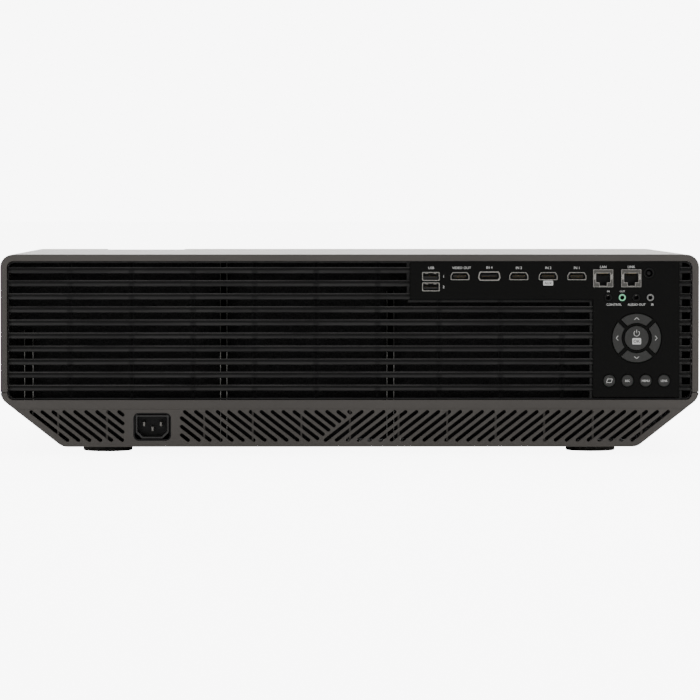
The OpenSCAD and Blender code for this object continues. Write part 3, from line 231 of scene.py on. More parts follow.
slatBlack = louvrePlastic("slatBlack", palette["slatBlack"], -0.2307, 0.0507, 0.0034, 0.15412, 0.01077)
ribBlack = moulded("ribBlack", (0.004, 0.004, 0.004), 0.6, grain=1400, Specular_IOR_Level=0.1)
plateBlack = moulded("plateBlack", palette["plateBlack"], 0.42, grain=2200, grainDepth=0.02, Specular_IOR_Level=0.1)
keyGrey = moulded("keyGrey", palette["keyGrey"], 0.44, grain=1900, grainDepth=0.015, Specular_IOR_Level=0.3)
jackBlack = moulded("jackBlack", (0.012, 0.012, 0.0118), 0.34, grain=1200, grainDepth=0.01,
                    Specular_IOR_Level=0.3)
fanBlack = moulded("fanBlack", (0.016, 0.016, 0.017), 0.38, grain=1000)
lensBlack = moulded("lensBlack", palette["lensBlack"], 0.32, grain=2400, grainDepth=0.02)
printWhite = moulded("printWhite", palette["printWhite"], 0.55, grain=2600, grainDepth=0.006, drift=0.02)
gearIvory = moulded("gearIvory", (0.16, 0.15, 0.12), 0.36)
nickel = streakedMetal("nickel", palette["nickel"], (500, 500, 1800), 0.24)
gold = streakedMetal("gold", palette["gold"], (900, 900, 900), 0.22)


# Pressed steel channel: painted glints along its cut flanges, strong low down and dim higher up, and painted shade,
# nearly black, everywhere else.
def channelSteel(name, color, flangeXs, glintTop):
    s = Shader(name, color, 0.34, Metallic=1.0)
    x, _, z = s.axes()
    away = (x - flangeXs[0]).maths("ABSOLUTE")
    for flangeX in flangeXs[1:]:
        away = away.maths("MINIMUM", (x - flangeX).maths("ABSOLUTE"))
    # Painted shade: nearly black away from the flange edges.
    inner = away.band(0.35 * mm, 0.75 * mm)
    high = z.band(glintTop - 6 * mm, glintTop + 6 * mm)
    streak = s.noise(1, 4, where=s.place((900, 900, 60)), rough=0.7)
    # Painted glints, strong below a set height and dim above it.
    paintedGlints = s.mix(high, s.mix(streak.band(0.3, 0.7), shade(color, 0.6), color), shade(color, 0.16))
    s.tint(s.mix(inner, paintedGlints, shade(color, 0.012)))
    s.rough(0.28 + streak * 0.12 + inner * 0.3)
    s.bump(streak, 0.25, 0.02 * mm)
    return s.material


flangeXs = (-0.2694, -0.2619, -0.1073, -0.1015, 0.0306, 0.0368)
# The painted glints on the flanges stay strong below 86 mm.
bracketSteel = channelSteel("bracketSteel", (0.5, 0.495, 0.47), flangeXs, 0.086)
# A darker copy of nickel for the mains pins: painted shade, as the pins sit in the shade of the inlet's well.
shadedPinNickel = streakedMetal("shadedPinNickel", (0.26, 0.25, 0.235), (500, 500, 1800), 0.3)
shieldNickel = streakedMetal("shieldNickel", (0.16, 0.155, 0.145), (300, 300, 900), 0.34)
alloy = castMetal("alloy", palette["alloy"])
darkAlloy = castMetal("darkAlloy", (0.035, 0.035, 0.036), 0.5)
finAlloy = streakedMetal("finAlloy", (0.66, 0.67, 0.68), (200, 1400, 90), 0.34)
copper = streakedMetal("copper", palette["copper"], (1500, 60, 1500), 0.28)
steelTurned = streakedMetal("steelTurned", (0.5, 0.5, 0.5), (120, 1200, 1200), 0.26)
steelDark = streakedMetal("steelDark", (0.13, 0.13, 0.128), (120, 1200, 1200), 0.34)


# Rubber: matt, lighter and rougher in random patches, with coarse grain.
def rubberLike(name, color):
    s = Shader(name, color, 0.78)
    patchNoise = s.noise(300, 5, rough=0.7)
    s.tint(s.mix(patchNoise.band(0.45, 0.8), color, shade(color, 2.6)))
    s.rough(0.7 + patchNoise * 0.16)
    s.bump(s.noise(1300, 2), 0.4, 0.04 * mm)
    return s.material


footRubber = rubberLike("footRubber", (0.15, 0.141, 0.131))


# Open foam: round pores cut into a lighter skin.
def foamLike(name, color):
    s = Shader(name, color, 0.85)
    pores = s.cells(700)
    s.tint(s.mix(pores.band(0.2, 0.55), shade(color, 0.25), color))
    s.bump(pores, 0.8, 0.4 * mm)
    return s.material


foamGrey = foamLike("foamGrey", (0.06, 0.06, 0.062))
# The foam filter behind the rear vents is real; its near-black tone is painted shade so the inside looks dark.
shadeFoamBlack = foamLike("shadeFoamBlack", (0.006, 0.006, 0.006))


# Circuit board: lacquer over copper runs laid on a grid.
def boardLacquer(name, color):
    s = Shader(name, color, 0.32, Coat_Weight=0.5, Coat_Roughness=0.15)
    x, y, z = s.axes(s.place((420, 420, 420)))
    jog = s.noise(0.22, 1, where=s.place((420, 420, 420)))
    runs = ((x + jog * 7).maths("FRACT") - 0.5).maths("ABSOLUTE").band(0.26, 0.32)
    cross = ((y + z + jog * 6).maths("FRACT") - 0.5).maths("ABSOLUTE").band(0.28, 0.34)
    lines = runs.maths("MAXIMUM", cross)
    s.tint(s.mix(lines, color, shade(color, 2.1)))
    s.rough(0.3 + lines * 0.12)
    s.bump(lines, 0.3, 0.03 * mm)
    return s.material


boardGreen = boardLacquer("boardGreen", palette["boardGreen"])


# Phosphor ring: yellow and green arcs on a mirror disc.
def phosphorDisc(name, centre):
    s = Shader(name, (0.7, 0.7, 0.7), 0.2, Metallic=1.0)
    x, _, z = s.axes()
    dx, dz = x - centre[0], z - centre[2]
    radius = (dx * dx + dz * dz) ** 0.5
    ring = (radius > 22 * mm) * (radius < 31 * mm)
    arc = (dx > 0) + (dz > 0)
    coat = s.mix(arc * 0.5, (0.75, 0.62, 0.05), (0.25, 0.62, 0.10))
    s.tint(s.mix(ring, (0.75, 0.75, 0.76), coat))
    s.put(s.bsdf.inputs["Metallic"], 1 - ring)
    s.rough(0.16 + ring * 0.5)
    s.bump(s.noise(1500) * ring, 0.4, 0.03 * mm)
    return s.material


wheelCoat = phosphorDisc("wheelCoat", (-0.150, 0.010, 0.096))


# Coated glass: clear body with a faint violet and green sheen and dust specks.
def coatedGlass(name, tint):
    s = Shader(name, tint, 0.02, Transmission_Weight=0.96, IOR=1.52, Coat_Weight=0.3, Coat_Roughness=0.02)
    facing = Wire(s, s.node("ShaderNodeLayerWeight", {}, {"Blend": 0.35}).outputs["Facing"])
    s.tint(s.mix(facing.band(0.1, 0.75), tint, (0.45, 0.28, 0.62)))
    specks = s.cells(260).band(0.03, 0.012)
    s.rough(0.015 + specks * 0.25)
    return s.material


lensGlass = coatedGlass("lensGlass", (0.50, 0.66, 0.72))

keyNames = ["ok_key", "up_key", "down_key", "left_key", "right_key", "keystone_key", "escape_key", "menu_key",
            "lens_key"]
finishes = [
    (caseGrey, "lower_case rear_bezel front_bezel"), (casePale, "upper_cover service_cover filter_door"),
    (slatBlack, "rear_grille front_grille"), (plateBlack, "io_plate lens_surround"), (foamGrey, "air_filter"),
    (shadeFoamBlack, "rear_filter"), (boardGreen, "io_board power_supply main_board"),
    (nickel, "usb_sockets video_sockets display_socket network_sockets mains_pins"),
    (jackBlack, "round_jacks mains_inlet"), (alloy, "engine_housing laser_module"), (wheelCoat, "phosphor_wheel"),
    (finAlloy, "heat_sink"), (copper, "heat_pipes"), (darkAlloy, "shift_base shift_carriage_x shift_carriage_z"),
    (steelDark, "shift_screw_x shift_screw_z lens_motors"), (lensGlass, "front_lens"),
    (lensBlack, "lens_barrel zoom_ring focus_ring focus_barrel"), (gearIvory, "zoom_pinion focus_pinion"),
    (fanBlack, "fan_frames fan_rotor_left fan_rotor_right speakers"), (bracketSteel, "support_brackets"),
    (steelTurned, "case_screws foot_stud_left foot_stud_right"),
    (footRubber, "foot_pad_left foot_pad_right rear_feet"), (keyGrey, " ".join(keyNames)),
]
finishOf = {name: material for material, names in finishes for name in names.split()}

# Width of the rounded edge on each CAD node, in millimetres.
edges = {
    "lower_case": 0.35, "rear_bezel": 0.7, "front_bezel": 0.7, "upper_cover": 0.25, "service_cover": 0.3,
    "filter_door": 0.3, "io_plate": 0.2, "lens_surround": 0.6, "engine_housing": 1.2, "laser_module": 1.2,
    "shift_base": 0.5, "shift_carriage_x": 0.5, "shift_carriage_z": 0.5, "focus_barrel": 0.6,
    "lens_barrel": 0.5, "fan_frames": 0.5, "speakers": 0.8, "foot_pad_left": 0.3, "foot_pad_right": 0.3,
    "rear_feet": 0.3, "mains_inlet": 0.3, "zoom_ring": 0.15, "focus_ring": 0.15, "support_brackets": 0.15,
    "zoom_pinion": 0.1, "focus_pinion": 0.1, "heat_sink": 0.12,
}


def roundEdges(obj, width, segments=2):
    weld = obj.modifiers.new("weld", "WELD")
    weld.merge_threshold = 0.002 * mm
    bevel = obj.modifiers.new("edges", "BEVEL")
    bevel.width = width * mm
    bevel.segments = segments
    bevel.limit_method = "ANGLE"
    bevel.angle_limit = math.radians(35)
    bevel.harden_normals = True
    bevel.use_clamp_overlap = True


for name, node in nodes.items():
    node.data.materials.clear()
    node.data.materials.append(finishOf[name])
    if name in edges:
        roundEdges(node, edges[name])
print("finishes set")


def meshFrom(bm, name, turnOut=True):  # empties a drawing into a mesh of its own
    if turnOut:
        bmesh.ops.recalc_face_normals(bm, faces=bm.faces[:])
    mesh = bpy.data.meshes.new(name)
    bm.to_mesh(mesh)
    bm.free()
    return mesh


def link(name, data):
    obj = bpy.data.objects.new(name, data)
    scene.collection.objects.link(obj)
    return obj


def smoothByAngle(mesh):  # creases steeper than this stay sharp
    mesh.shade_smooth()
    mesh.set_sharp_from_angle(angle=math.radians(32))


# Solids drawn straight into one mesh; sizes and places are given in millimetres
class Build:
    def __init__(self):
        self.bm = bmesh.new()
        self.slot = 0

    def faces(self, made):
        for face in made:
            face.material_index = self.slot

    def box(self, low, high):
        low, high = (Vector(v * mm for v in corner) for corner in (low, high))
        made = bmesh.ops.create_cube(self.bm, size=1.0)
        for vert in made["verts"]:
            vert.co = Vector(((low[i] + high[i]) / 2 + vert.co[i] * (high[i] - low[i])) for i in range(3))
        self.faces({f for v in made["verts"] for f in v.link_faces})
        return made["verts"]

    # A profile of (radius, distance) pairs turned about an axis through centre.
    def lathe(self, profile, centre, axis="Y", segments=64):
        rings = []
        across, along = Vector((1, 0, 0)), Vector((0, 1, 0)) if axis == "Y" else Vector((0, 0, 1))
        up = Vector((0, 0, 1)) if axis == "Y" else Vector((0, 1, 0))
        centre = Vector(v * mm for v in centre)
        for radius, distance in ((r * mm, d * mm) for r, d in profile):
            if radius == 0:
                rings.append([self.bm.verts.new(centre + along * distance)])
                continue
            rings.append([self.bm.verts.new(centre + along * distance
                          + across * radius * math.cos(2 * math.pi * i / segments)
                          + up * radius * math.sin(2 * math.pi * i / segments)) for i in range(segments)])
        made = []
        for a, b in zip(rings, rings[1:]):
            for i in range(segments):
                j = (i + 1) % segments
                corners = [a[i % len(a)], a[j % len(a)], b[j % len(b)], b[i % len(b)]]
                unique = list(dict.fromkeys(corners))
                if len(unique) > 2:
                    made.append(self.bm.faces.new(unique))
        for face in made:
            face.smooth = True
        self.faces(made)

    # An outline in X and Z given depth along Y.
    def slab(self, outline, y0, y1):
        near, far = ([self.bm.verts.new((x * mm, y * mm, z * mm)) for x, z in outline] for y in (y0, y1))
        made = [self.bm.faces.new(near), self.bm.faces.new(far[::-1])]
        for i in range(len(outline)):
            j = (i + 1) % len(outline)
            made.append(self.bm.faces.new((near[i], far[i], far[j], near[j])))
        self.faces(made)

    # A wall between two outlines with the same number of points, from y0 to y1, open inside.
    def frameWall(self, outer, inner, y0, y1):
        rows = [[self.bm.verts.new((x * mm, y * mm, z * mm)) for x, z in outline]
                for outline, y in ((outer, y0), (outer, y1), (inner, y1), (inner, y0))]
        made = []
        for a, b in zip(rows, rows[1:] + rows[:1]):
            for i in range(len(outer)):
                j = (i + 1) % len(outer)
                made.append(self.bm.faces.new((a[i], a[j], b[j], b[i])))
        self.faces(made)

    def done(self, name, materials, body="case", edge=0.0, segments=2, slotName=None, stands=()):
        mesh = meshFrom(self.bm, name)
        for material in materials:
            mesh.materials.append(material)
        obj = link(name, mesh)
        smoothByAngle(mesh)
        if edge:
            roundEdges(obj, edge, segments)
        return settle(obj, body, stands)


def settle(obj, body="case", stands=()):
    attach(obj, body)
    if stands:
        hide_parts(*stands)
    return obj


# Geometry Nodes, built and turned into a mesh
class Growth:
    def __init__(self, name):
        self.name = name
        self.tree = bpy.data.node_groups.new(name, "GeometryNodeTree")
        self.tree.interface.new_socket("Geometry", in_out="OUTPUT", socket_type="NodeSocketGeometry")
        self.tree.interface.new_socket("Geometry", in_out="INPUT", socket_type="NodeSocketGeometry")
        self.start = self.tree.nodes.new("NodeGroupInput")
        self.values = {}

    def ask(self, label, kind, value):  # a named input on the tree
        made = self.tree.interface.new_socket(label, in_out="INPUT", socket_type="NodeSocket" + kind)
        self.values[made.identifier] = value
        if kind in ("Float", "Int", "Vector"):
            made.default_value = value
        return self.start.outputs[label]

    def node(self, kind, settings=None, inputs=None):
        node = self.tree.nodes.new(kind)
        for key, value in (settings or {}).items():
            setattr(node, key, value)
        for key, value in (inputs or {}).items():
            if isinstance(value, bpy.types.NodeSocket):
                self.tree.links.new(value, node.inputs[key])
            else:
                node.inputs[key].default_value = value
        return node

    def sum(self, operation, first, second):
        return self.node("ShaderNodeMath", {"operation": operation}, {0: first, 1: second}).outputs[0]

    def xyz(self, **parts):
        return self.node("ShaderNodeCombineXYZ", {}, parts).outputs[0]

    def count(self, number, start=(0, 0, 0), step=(0, 0, 0)):  # points to set things on
        made = self.node("GeometryNodeMeshLine", {}, {"Count": number, "Start Location": start, "Offset": step})
        return made.outputs[0]

    def index(self):
        return self.node("GeometryNodeInputIndex").outputs[0]

    def source(self, label, seed):  # another object's mesh as a named input
        made = self.node("GeometryNodeObjectInfo", {}, {"Object": self.ask(label, "Object", seed)})
        return made.outputs["Geometry"]

    def moved(self, points, spot):
        return self.node("GeometryNodeSetPosition", {}, {"Geometry": points, "Position": spot}).outputs[0]

    def choose(self, above, edge, low, high):  # high once a value passes an edge, low before
        past = self.node("FunctionNodeCompare", {"operation": "GREATER_THAN"}, {0: above, 1: edge}).outputs[0]
        return self.node("GeometryNodeSwitch", {"input_type": "FLOAT"}, {0: past, 1: low, 2: high}).outputs[0]

    def repeat(self, points, shape, **how):
        made = self.node("GeometryNodeInstanceOnPoints", {}, {"Points": points, "Instance": shape, **how})
        return made.outputs[0]

    def grow(self, geometry, material, body="case", slotName=None, stands=(), bodyMesh=None):
        real = self.node("GeometryNodeRealizeInstances", {}, {0: geometry})
        skin = self.node("GeometryNodeSetMaterial", {}, {"Geometry": real.outputs[0], "Material": material})
        end = self.tree.nodes.new("NodeGroupOutput")
        self.tree.links.new(skin.outputs[0], end.inputs[0])
        holder = link(self.name + "Holder", bodyMesh or bpy.data.meshes.new(self.name + "Seed"))
        modifier = holder.modifiers.new("grow", "NODES")
        modifier.node_group = self.tree
        for key, value in self.values.items():
            modifier[key] = value
        bpy.context.view_layer.update()
        ready = holder.evaluated_get(bpy.context.evaluated_depsgraph_get())
        mesh = bpy.data.meshes.new_from_object(ready)
        mesh.name = self.name
        bpy.data.objects.remove(holder)
        obj = link(self.name, mesh)
        smoothByAngle(mesh)
        return settle(obj, body, stands)


def seedObject(name, build):  # a hidden source for instances, removed once grown
    return link(name, meshFrom(build.bm, name))


def drop(*objs):
    for obj in objs:
        bpy.data.objects.remove(obj)


# Louvres: one slat's section, repeated down the window and cut short beside the plate
louvres = {
    "halfWidth": 281.4, "count": 10, "pitch": 10.77, "firstTop": 154.1, "face": -212.0, "tall": 5.2,
    "leftOfPlate": 49.3, "leftOfKeys": 200.3, "rightOfPlate": 271.9, "armLow": 127.3,
    "section": [(0.0, -0.72), (0.0, -0.3), (0.1, -0.08), (0.4, 0.0), (1.6, -0.15), (8.0, -1.0), (8.0, -2.6),
                (3.2, -5.2), (1.9, -5.2), (1.1, -4.95), (0.6, -4.5), (0.35, -3.9), (0.4, -3.3), (0.8, -2.55),
                (1.3, -2.2), (1.4, -1.3), (1.0, -0.9), (0.12, -0.82)],
}
opening = {"x": -182.0, "z": 101.8, "radius": 55.4, "ribGap": 0.6}  # the round hole that the lens looks through


def slatSeed(name, side):
    b = Build()
    points = [(d * mm, h * mm) for d, h in louvres["section"]]
    y0 = louvres["face"] * mm
    near, far = ([b.bm.verts.new((x, side * (-y0 - d), h)) for d, h in points] for x in (0.0, 1.0))
    b.bm.faces.new(near)
    b.bm.faces.new(far[::-1])
    for i in range(len(points)):
        j = (i + 1) % len(points)
        b.bm.faces.new((near[i], far[i], far[j], near[j]))
    return seedObject(name, b)


# One tree for every run of slats: span gives each slat's two ends, from the tree and the slat's height.
def slatRows(name, side, span):
    seed = slatSeed(name + "Seed", side)
    g = Growth(name)
    count = g.ask("Slats", "Int", louvres["count"])
    pitch = g.ask("Pitch", "Float", louvres["pitch"] * mm)
    top = g.ask("First top", "Float", louvres["firstTop"] * mm)
    z = g.sum("SUBTRACT", top, g.sum("MULTIPLY", g.index(), pitch))
    start, end = span(g, z)
    placed = g.moved(g.count(count), g.xyz(X=start, Z=z))
    slats = g.repeat(placed, g.source("Slat", seed), Scale=g.xyz(X=g.sum("SUBTRACT", end, start), Y=1.0, Z=1.0))
    g.grow(slats, slatBlack, slotName="grille_black")
    drop(seed)


def straight(start, upperEnd, lowerEnd):  # a run whose lower slats may end elsewhere than its upper ones
    def span(g, z):
        x0 = g.ask("Start", "Float", start * mm)
        high = g.ask("End above", "Float", upperEnd * mm)
        low = g.ask("End below", "Float", lowerEnd * mm)
        return x0, g.choose(z, g.ask("Split height", "Float", louvres["armLow"] * mm), low, high)
    return span


def chordAt(g, distance, radius):  # half the width of the lens opening at a distance from its centre
    square = g.sum("SUBTRACT", radius * radius, g.sum("MULTIPLY", distance, distance))
    return g.sum("SQRT", g.sum("MAXIMUM", square, 0.0), 0.0)


def roundLens(way):  # a run that ends on the circle of the lens opening
    def span(g, z):
        far = g.ask("Outer end", "Float", way * louvres["halfWidth"] * mm)
        above = g.sum("SUBTRACT", g.sum("SUBTRACT", z, louvres["tall"] * mm), opening["z"] * mm)
        nearest = g.sum("MAXIMUM", g.sum("MAXIMUM", above, g.sum("SUBTRACT", opening["z"] * mm, z)), 0.0)
        chord = g.sum("MULTIPLY", chordAt(g, nearest, opening["radius"] * mm), float(way))
        return g.sum("ADD", opening["x"] * mm, chord), far
    return span


windowHalf = louvres["halfWidth"]
slatRows("rearSlatsLeft", -1, straight(-windowHalf, louvres["leftOfPlate"], louvres["leftOfKeys"]))
slatRows("rearSlatsRight", -1, straight(louvres["rightOfPlate"], windowHalf, windowHalf))
slatRows("frontSlatsLeft", 1, roundLens(-1))
slatRows("frontSlatsRight", 1, roundLens(1))
print("louvres grown")


# Upright ribs behind the slats and the rim that ties their ends
uprights = {"first": -230.7, "pitch": 50.7, "count": 11, "thick": 2.0, "y": (-206.5, -201.5), "low": 45.4,
            "high": 158.2, "keypadLeft": 199.9, "plateLeft": 48.9, "armLow": 127.0}


def ribRow(name, side, cutForPlate, lensSide=0):
    u = uprights
    g = Growth(name)
    count = g.ask("Ribs", "Int", u["count"])
    pitch = g.ask("Pitch", "Float", u["pitch"] * mm)
    thick = g.ask("Thickness", "Float", u["thick"] * mm)
    x = g.sum("ADD", g.sum("MULTIPLY", g.index(), pitch), u["first"] * mm)
    top, low = u["high"] * mm, u["low"] * mm
    if cutForPlate:
        top = g.choose(x, u["plateLeft"] * mm, top, u["armLow"] * mm)
        top = g.choose(x, u["keypadLeft"] * mm, top, low + 1e-5)
    if lensSide:  # two rows meet at the lens's height, or stop on its opening
        reach = (opening["radius"] + opening["ribGap"]) * mm
        chord = chordAt(g, g.sum("SUBTRACT", x, opening["x"] * mm), reach)
        stop = g.sum("ADD", opening["z"] * mm, g.sum("MULTIPLY", chord, float(lensSide)))
        low, top = (stop, top) if lensSide > 0 else (low, stop)
    height = g.sum("SUBTRACT", top, low)
    y0, y1 = (v * mm for v in u["y"])
    middle = g.sum("ADD", g.sum("MULTIPLY", height, 0.5), low)
    placed = g.moved(g.count(count), g.xyz(X=x, Y=-side * (y0 + y1) / 2, Z=middle))
    bar = g.node("GeometryNodeMeshCube", {}, {"Size": (1, 1, 1)}).outputs[0]
    ribs = g.repeat(placed, bar, Scale=g.xyz(X=thick, Y=y1 - y0, Z=height))
    g.grow(ribs, ribBlack, slotName="grille_black")


ribRow("rearRibs", -1, True)
ribRow("frontRibsHigh", 1, False, 1)
ribRow("frontRibsLow", 1, False, -1)


def roundRect(x0, x1, z0, z1, r, steps=5):
    points = []
    for cx, cz, start in ((x1 - r, z0 + r, -90), (x1 - r, z1 - r, 0), (x0 + r, z1 - r, 90), (x0 + r, z0 + r, 180)):
        for i in range(steps + 1):
            a = math.radians(start + 90 * i / steps)
            points.append((cx + r * math.cos(a), cz + r * math.sin(a)))
    return points


rims = {"outer": (282.0, 45.0, 158.6, 4.8), "inner": (281.0, 46.0, 157.6, 4.2), "y": (202.2, 210.4),
        # bars round the connector plate: left, right, near and far faces, then low and high
        "bars": [(47.0, 49.2, -209.8, -202.5, 127.3, 157.8), (198.0, 200.2, -209.8, -202.5, 45.8, 127.0),
                 (272.0, 274.2, -209.8, -202.5, 45.8, 157.8), (48.0, 200.0, -208.5, -202.5, 125.0, 126.9)]}
for side, name, node in ((-1, "rearLouvreRim", "rear_grille"), (1, "frontLouvreRim", "front_grille")):
    b = Build()
    outer, inner = (roundRect(-half, half, low, high, r) for half, low, high, r in (rims["outer"], rims["inner"]))
    b.frameWall(outer, inner, *sorted(side * y for y in rims["y"]))
    if node == "rear_grille":
        for x0, x1, y0, y1, z0, z1 in rims["bars"]:
            b.box((x0, y0, z0), (x1, y1, z1))
    b.done(name, [slatBlack], edge=0.15, slotName="grille_black", stands=(node,))
print("louvre frames built")

# Sockets in the connector plate; every x and z is a centre in millimetres
sockets = {
    "face": -213.4, "usb": [(66.7, 146.5), (66.7, 137.85)], "video": [90.7, 139.2, 163.4, 187.1], "rowZ": 146.7,
    "display": 114.9, "network": [208.8, 232.0], "networkZ": 144.9, "jacks": [213.0, 224.6, 236.2, 247.8],
    "jackZ": 129.0, "service": (246.6, 149.2),
}
faceY = sockets["face"]
contactBlack = moulded("contactBlack", (0.006, 0.006, 0.006), 0.45, grain=1600, grainDepth=0.01)


def around(build, x, z, *boxes):  # boxes given from a socket's centre and the plate's face
    for x0, x1, y0, y1, z0, z1 in boxes:
        build.box((x + x0, faceY + y0, z + z0), (x + x1, faceY + y1, z + z1))


def pads(build, x, z, half, count, width, y0, y1, z0, z1):  # a row of contacts, half its length to each side
    for i in range(count):
        dx = -half + 2 * half * i / (count - 1)
        around(build, x, z, (dx - width / 2, dx + width / 2, y0, y1, z0, z1))


def shell(build, outer, inner, y0, y1):
    build.frameWall(outer, inner, faceY + y0, faceY + y1)


b = Build()
for x, z in sockets["usb"]:
    b.slot = 0
    shell(b, roundRect(x - 7.2, x + 7.2, z - 3.6, z + 3.6, 0.9),
          roundRect(x - 6.55, x + 6.55, z - 2.95, z + 2.95, 0.5), -0.25, 12)
    around(b, x, z, (-4.5, -2.3, 1.0, 7, 2.2, 2.6), (2.3, 4.5, 1.0, 7, 2.2, 2.6))  # springs that grip a plug
    b.slot = 1
    around(b, x, z, (-6.6, 6.6, 11.5, 12.6, -3.0, 3.0))
    b.slot = 2
    around(b, x, z, (-5.6, 5.6, 0.9, 12, -1.9, -0.1))
    b.slot = 3
    pads(b, x, z, 3.5, 4, 1.1, 1.6, 9, -0.12, 0.02)
b.done("usbSockets", [nickel, contactBlack, contactBlack, gold], edge=0.12, slotName="nickel",
       stands=("usb_sockets",))

# The wide video sockets and the display socket: mouth outlines as shares of half the width and height, the tongue,
# and each row of contacts.
mouths = {
    "video": {"half": (7.7, 3.2), "wall": 0.55, "tongue": (-5.4, 5.4, 0.9, 10.6, -0.75, 0.45),
              "rows": [(4.6, 10, 0.5, 0.8, 8, 0.4, 0.55), (4.1, 9, 0.5, 0.8, 8, -0.85, -0.7)],
              "corners": [(-0.94, -1), (0.94, -1), (1, -0.84), (1, 0.12), (0.97, 0.28), (0.80, 0.94), (0.74, 1),
                          (-0.74, 1), (-0.80, 0.94), (-0.97, 0.28), (-1, 0.12), (-1, -0.84)]},
    "display": {"half": (9.2, 3.8), "wall": 0.85, "tongue": (-6.4, 6.4, 0.9, 10.6, -0.2, 1.1),
                "rows": [(5.4, 10, 0.45, 0.8, 8, -0.32, -0.18)],
                "corners": [(-1, -0.35), (-0.86, -0.92), (-0.80, -1), (0.80, -1), (0.86, -0.92), (1, -0.35),
                            (0.92, 0.70), (0.84, 1), (-0.84, 1), (-0.92, 0.70)]},
}


def mouthOutline(kind, x, grow):
    w, h = (v + grow for v in mouths[kind]["half"])
    return [(x + a * w, sockets["rowZ"] + c * h) for a, c in mouths[kind]["corners"]]


for kind, name, node, xs in (("video", "videoSockets", "video_sockets", sockets["video"]),
                             ("display", "displaySocket", "display_socket", [sockets["display"]])):
    b = Build()
    m = mouths[kind]
    for x in xs:
        b.slot = 0
        shell(b, mouthOutline(kind, x, 0), mouthOutline(kind, x, -m["wall"]), -0.2, 11)
        b.slot = 1
        b.slab(mouthOutline(kind, x, 0.05 - m["wall"]), faceY + 10.2, faceY + 11)
        around(b, x, sockets["rowZ"], m["tongue"])
        b.slot = 2
        for row in m["rows"]:
            pads(b, x, sockets["rowZ"], *row)
    b.done(name, [nickel, contactBlack, gold], edge=0.1, slotName="nickel", stands=(node,))

b = Build()
for x in sockets["network"]:
    z = sockets["networkZ"]
    outer = [(x - 8.2, z - 7.3), (x - 3.2, z - 7.3), (x + 3.2, z - 7.3), (x + 8.2, z - 7.3),
             (x + 8.2, z - 3.0), (x + 8.2, z + 7.3), (x - 8.2, z + 7.3), (x - 8.2, z - 3.0)]
    inner = [(x - 3.1, z - 3.4), (x - 3.0, z - 6.2), (x + 3.0, z - 6.2), (x + 3.1, z - 3.4),
             (x + 5.9, z - 3.4), (x + 5.9, z + 4.2), (x - 5.9, z + 4.2), (x - 5.9, z - 3.4)]
    lip = [(px + (0.42 if px > x else -0.42), pz + (0.42 if pz > z - 1 else -0.42)) for px, pz in inner]
    b.slot = 3
    shell(b, outer, inner, -0.15, 0.35)
    b.slot = 0
    shell(b, roundRect(x - 8.2, x + 8.2, z - 7.3, z + 7.3, 0.5),
          roundRect(x - 7.75, x + 7.75, z - 6.85, z + 6.85, 0.3), -0.4, 0.2)
    shell(b, lip, inner, -0.4, 0.2)
    around(b, x, z, (-8.2, 8.2, 0, 12.5, 4.8, 7.2))
    for low, high, spring in ((-8.2, -6.4, -7.0), (6.4, 8.2, 7.0)):  # shield sides and their grounding springs
        around(b, x, z, (low, high, 0, 12.5, -7.2, 7.2), (spring - 0.7, spring + 0.7, -0.6, 0, -1.0, 3.4))
    b.slot = 1
    around(b, x, z, (-6.4, 6.4, 12.0, 12.6, -7.2, 5), (-6.3, 6.3, 0.4, 12, 4.2, 4.85),
           (-6.3, -3.1, 0.4, 12, -7.2, -3.5), (3.1, 6.3, 0.4, 12, -7.2, -3.5))
    b.slot = 2
    for i in range(8):
        wireX = x - 3.57 + 1.02 * i
        verts = b.box((wireX - 0.22, faceY + 2.2, z + 1.6), (wireX + 0.22, faceY + 11.6, z + 1.95))
        for v in verts:  # each wire slopes up towards the mouth
            v.co.z += (faceY + 11.6 - v.co.y / mm) * 0.24 * mm
b.done("networkSockets", [nickel, contactBlack, gold, shieldNickel], edge=0.1, slotName="nickel",
       stands=("network_sockets",))

mintRing = moulded("mintRing", palette["mint"], 0.38, grain=1600, grainDepth=0.01)
greyRing = moulded("greyRing", (0.30, 0.30, 0.29), 0.4, grain=1600, grainDepth=0.01)
b = Build()


def turned(slot, x, z, profile, segments):
    b.slot = slot
    b.lathe(profile, (x, faceY, z), segments=segments)


for ring, x in zip((0, 1, 0, 2), sockets["jacks"]):
    z = sockets["jackZ"]
    turned(ring, x, z, [(1.85, 4), (1.85, 0.1), (2.1, -0.35), (2.6, -0.4), (2.85, -0.15), (2.85, 5)], 40)
    turned(3, x, z, [(2.85, 3.8), (1.8, 4), (1.8, 13), (0, 13.2)], 32)
    b.slot = 4
    around(b, x, z, (-0.5, 0.5, 4.5, 9, 1.35, 1.75))
serviceX, serviceZ = sockets["service"]
turned(0, serviceX, serviceZ, [(0, 9.5), (3.1, 9.5), (3.1, 0.3), (3.3, -0.2), (3.9, -0.3), (4.0, 0.1), (4.0, 5)], 44)
turned(3, serviceX, serviceZ, [(0, 3.4), (1.6, 3.6), (2.7, 4.6), (3.0, 6)], 36)
b.done("roundJacks", [jackBlack, mintRing, greyRing, contactBlack, nickel], slotName="jack_black",
       stands=("round_jacks",))
print("sockets built")

# Mains inlet: lighter frame round the well, and pins with chamfered noses
inlet = {"x": -163.0, "z": 22.6, "wellHalf": (12.3, 8.3), "cut": 4.6, "lip": 1.35, "pins": [(-7, 2), (7, 2), (0, -2)],
         "pinHalf": (1.0, 2.0), "pinY": (-208.9, -188.2), "frameY": (-214.55, -210.0)}
inletGrey = moulded("inletGrey", (0.030, 0.029, 0.028), 0.36, grain=1500, grainDepth=0.015)


def wellOutline(grow):
    w, h, c = inlet["wellHalf"][0] + grow, inlet["wellHalf"][1] + grow, inlet["cut"] + grow * 0.4
    nick = 0.6  # the small bevel of the two upper corners
    points = [(-w + c, -h), (w - c, -h), (w, -h + c), (w, h - nick), (w - nick, h), (-w + nick, h), (-w, h - nick),
              (-w, -h + c)]
    return [(inlet["x"] + px, inlet["z"] + pz) for px, pz in points]


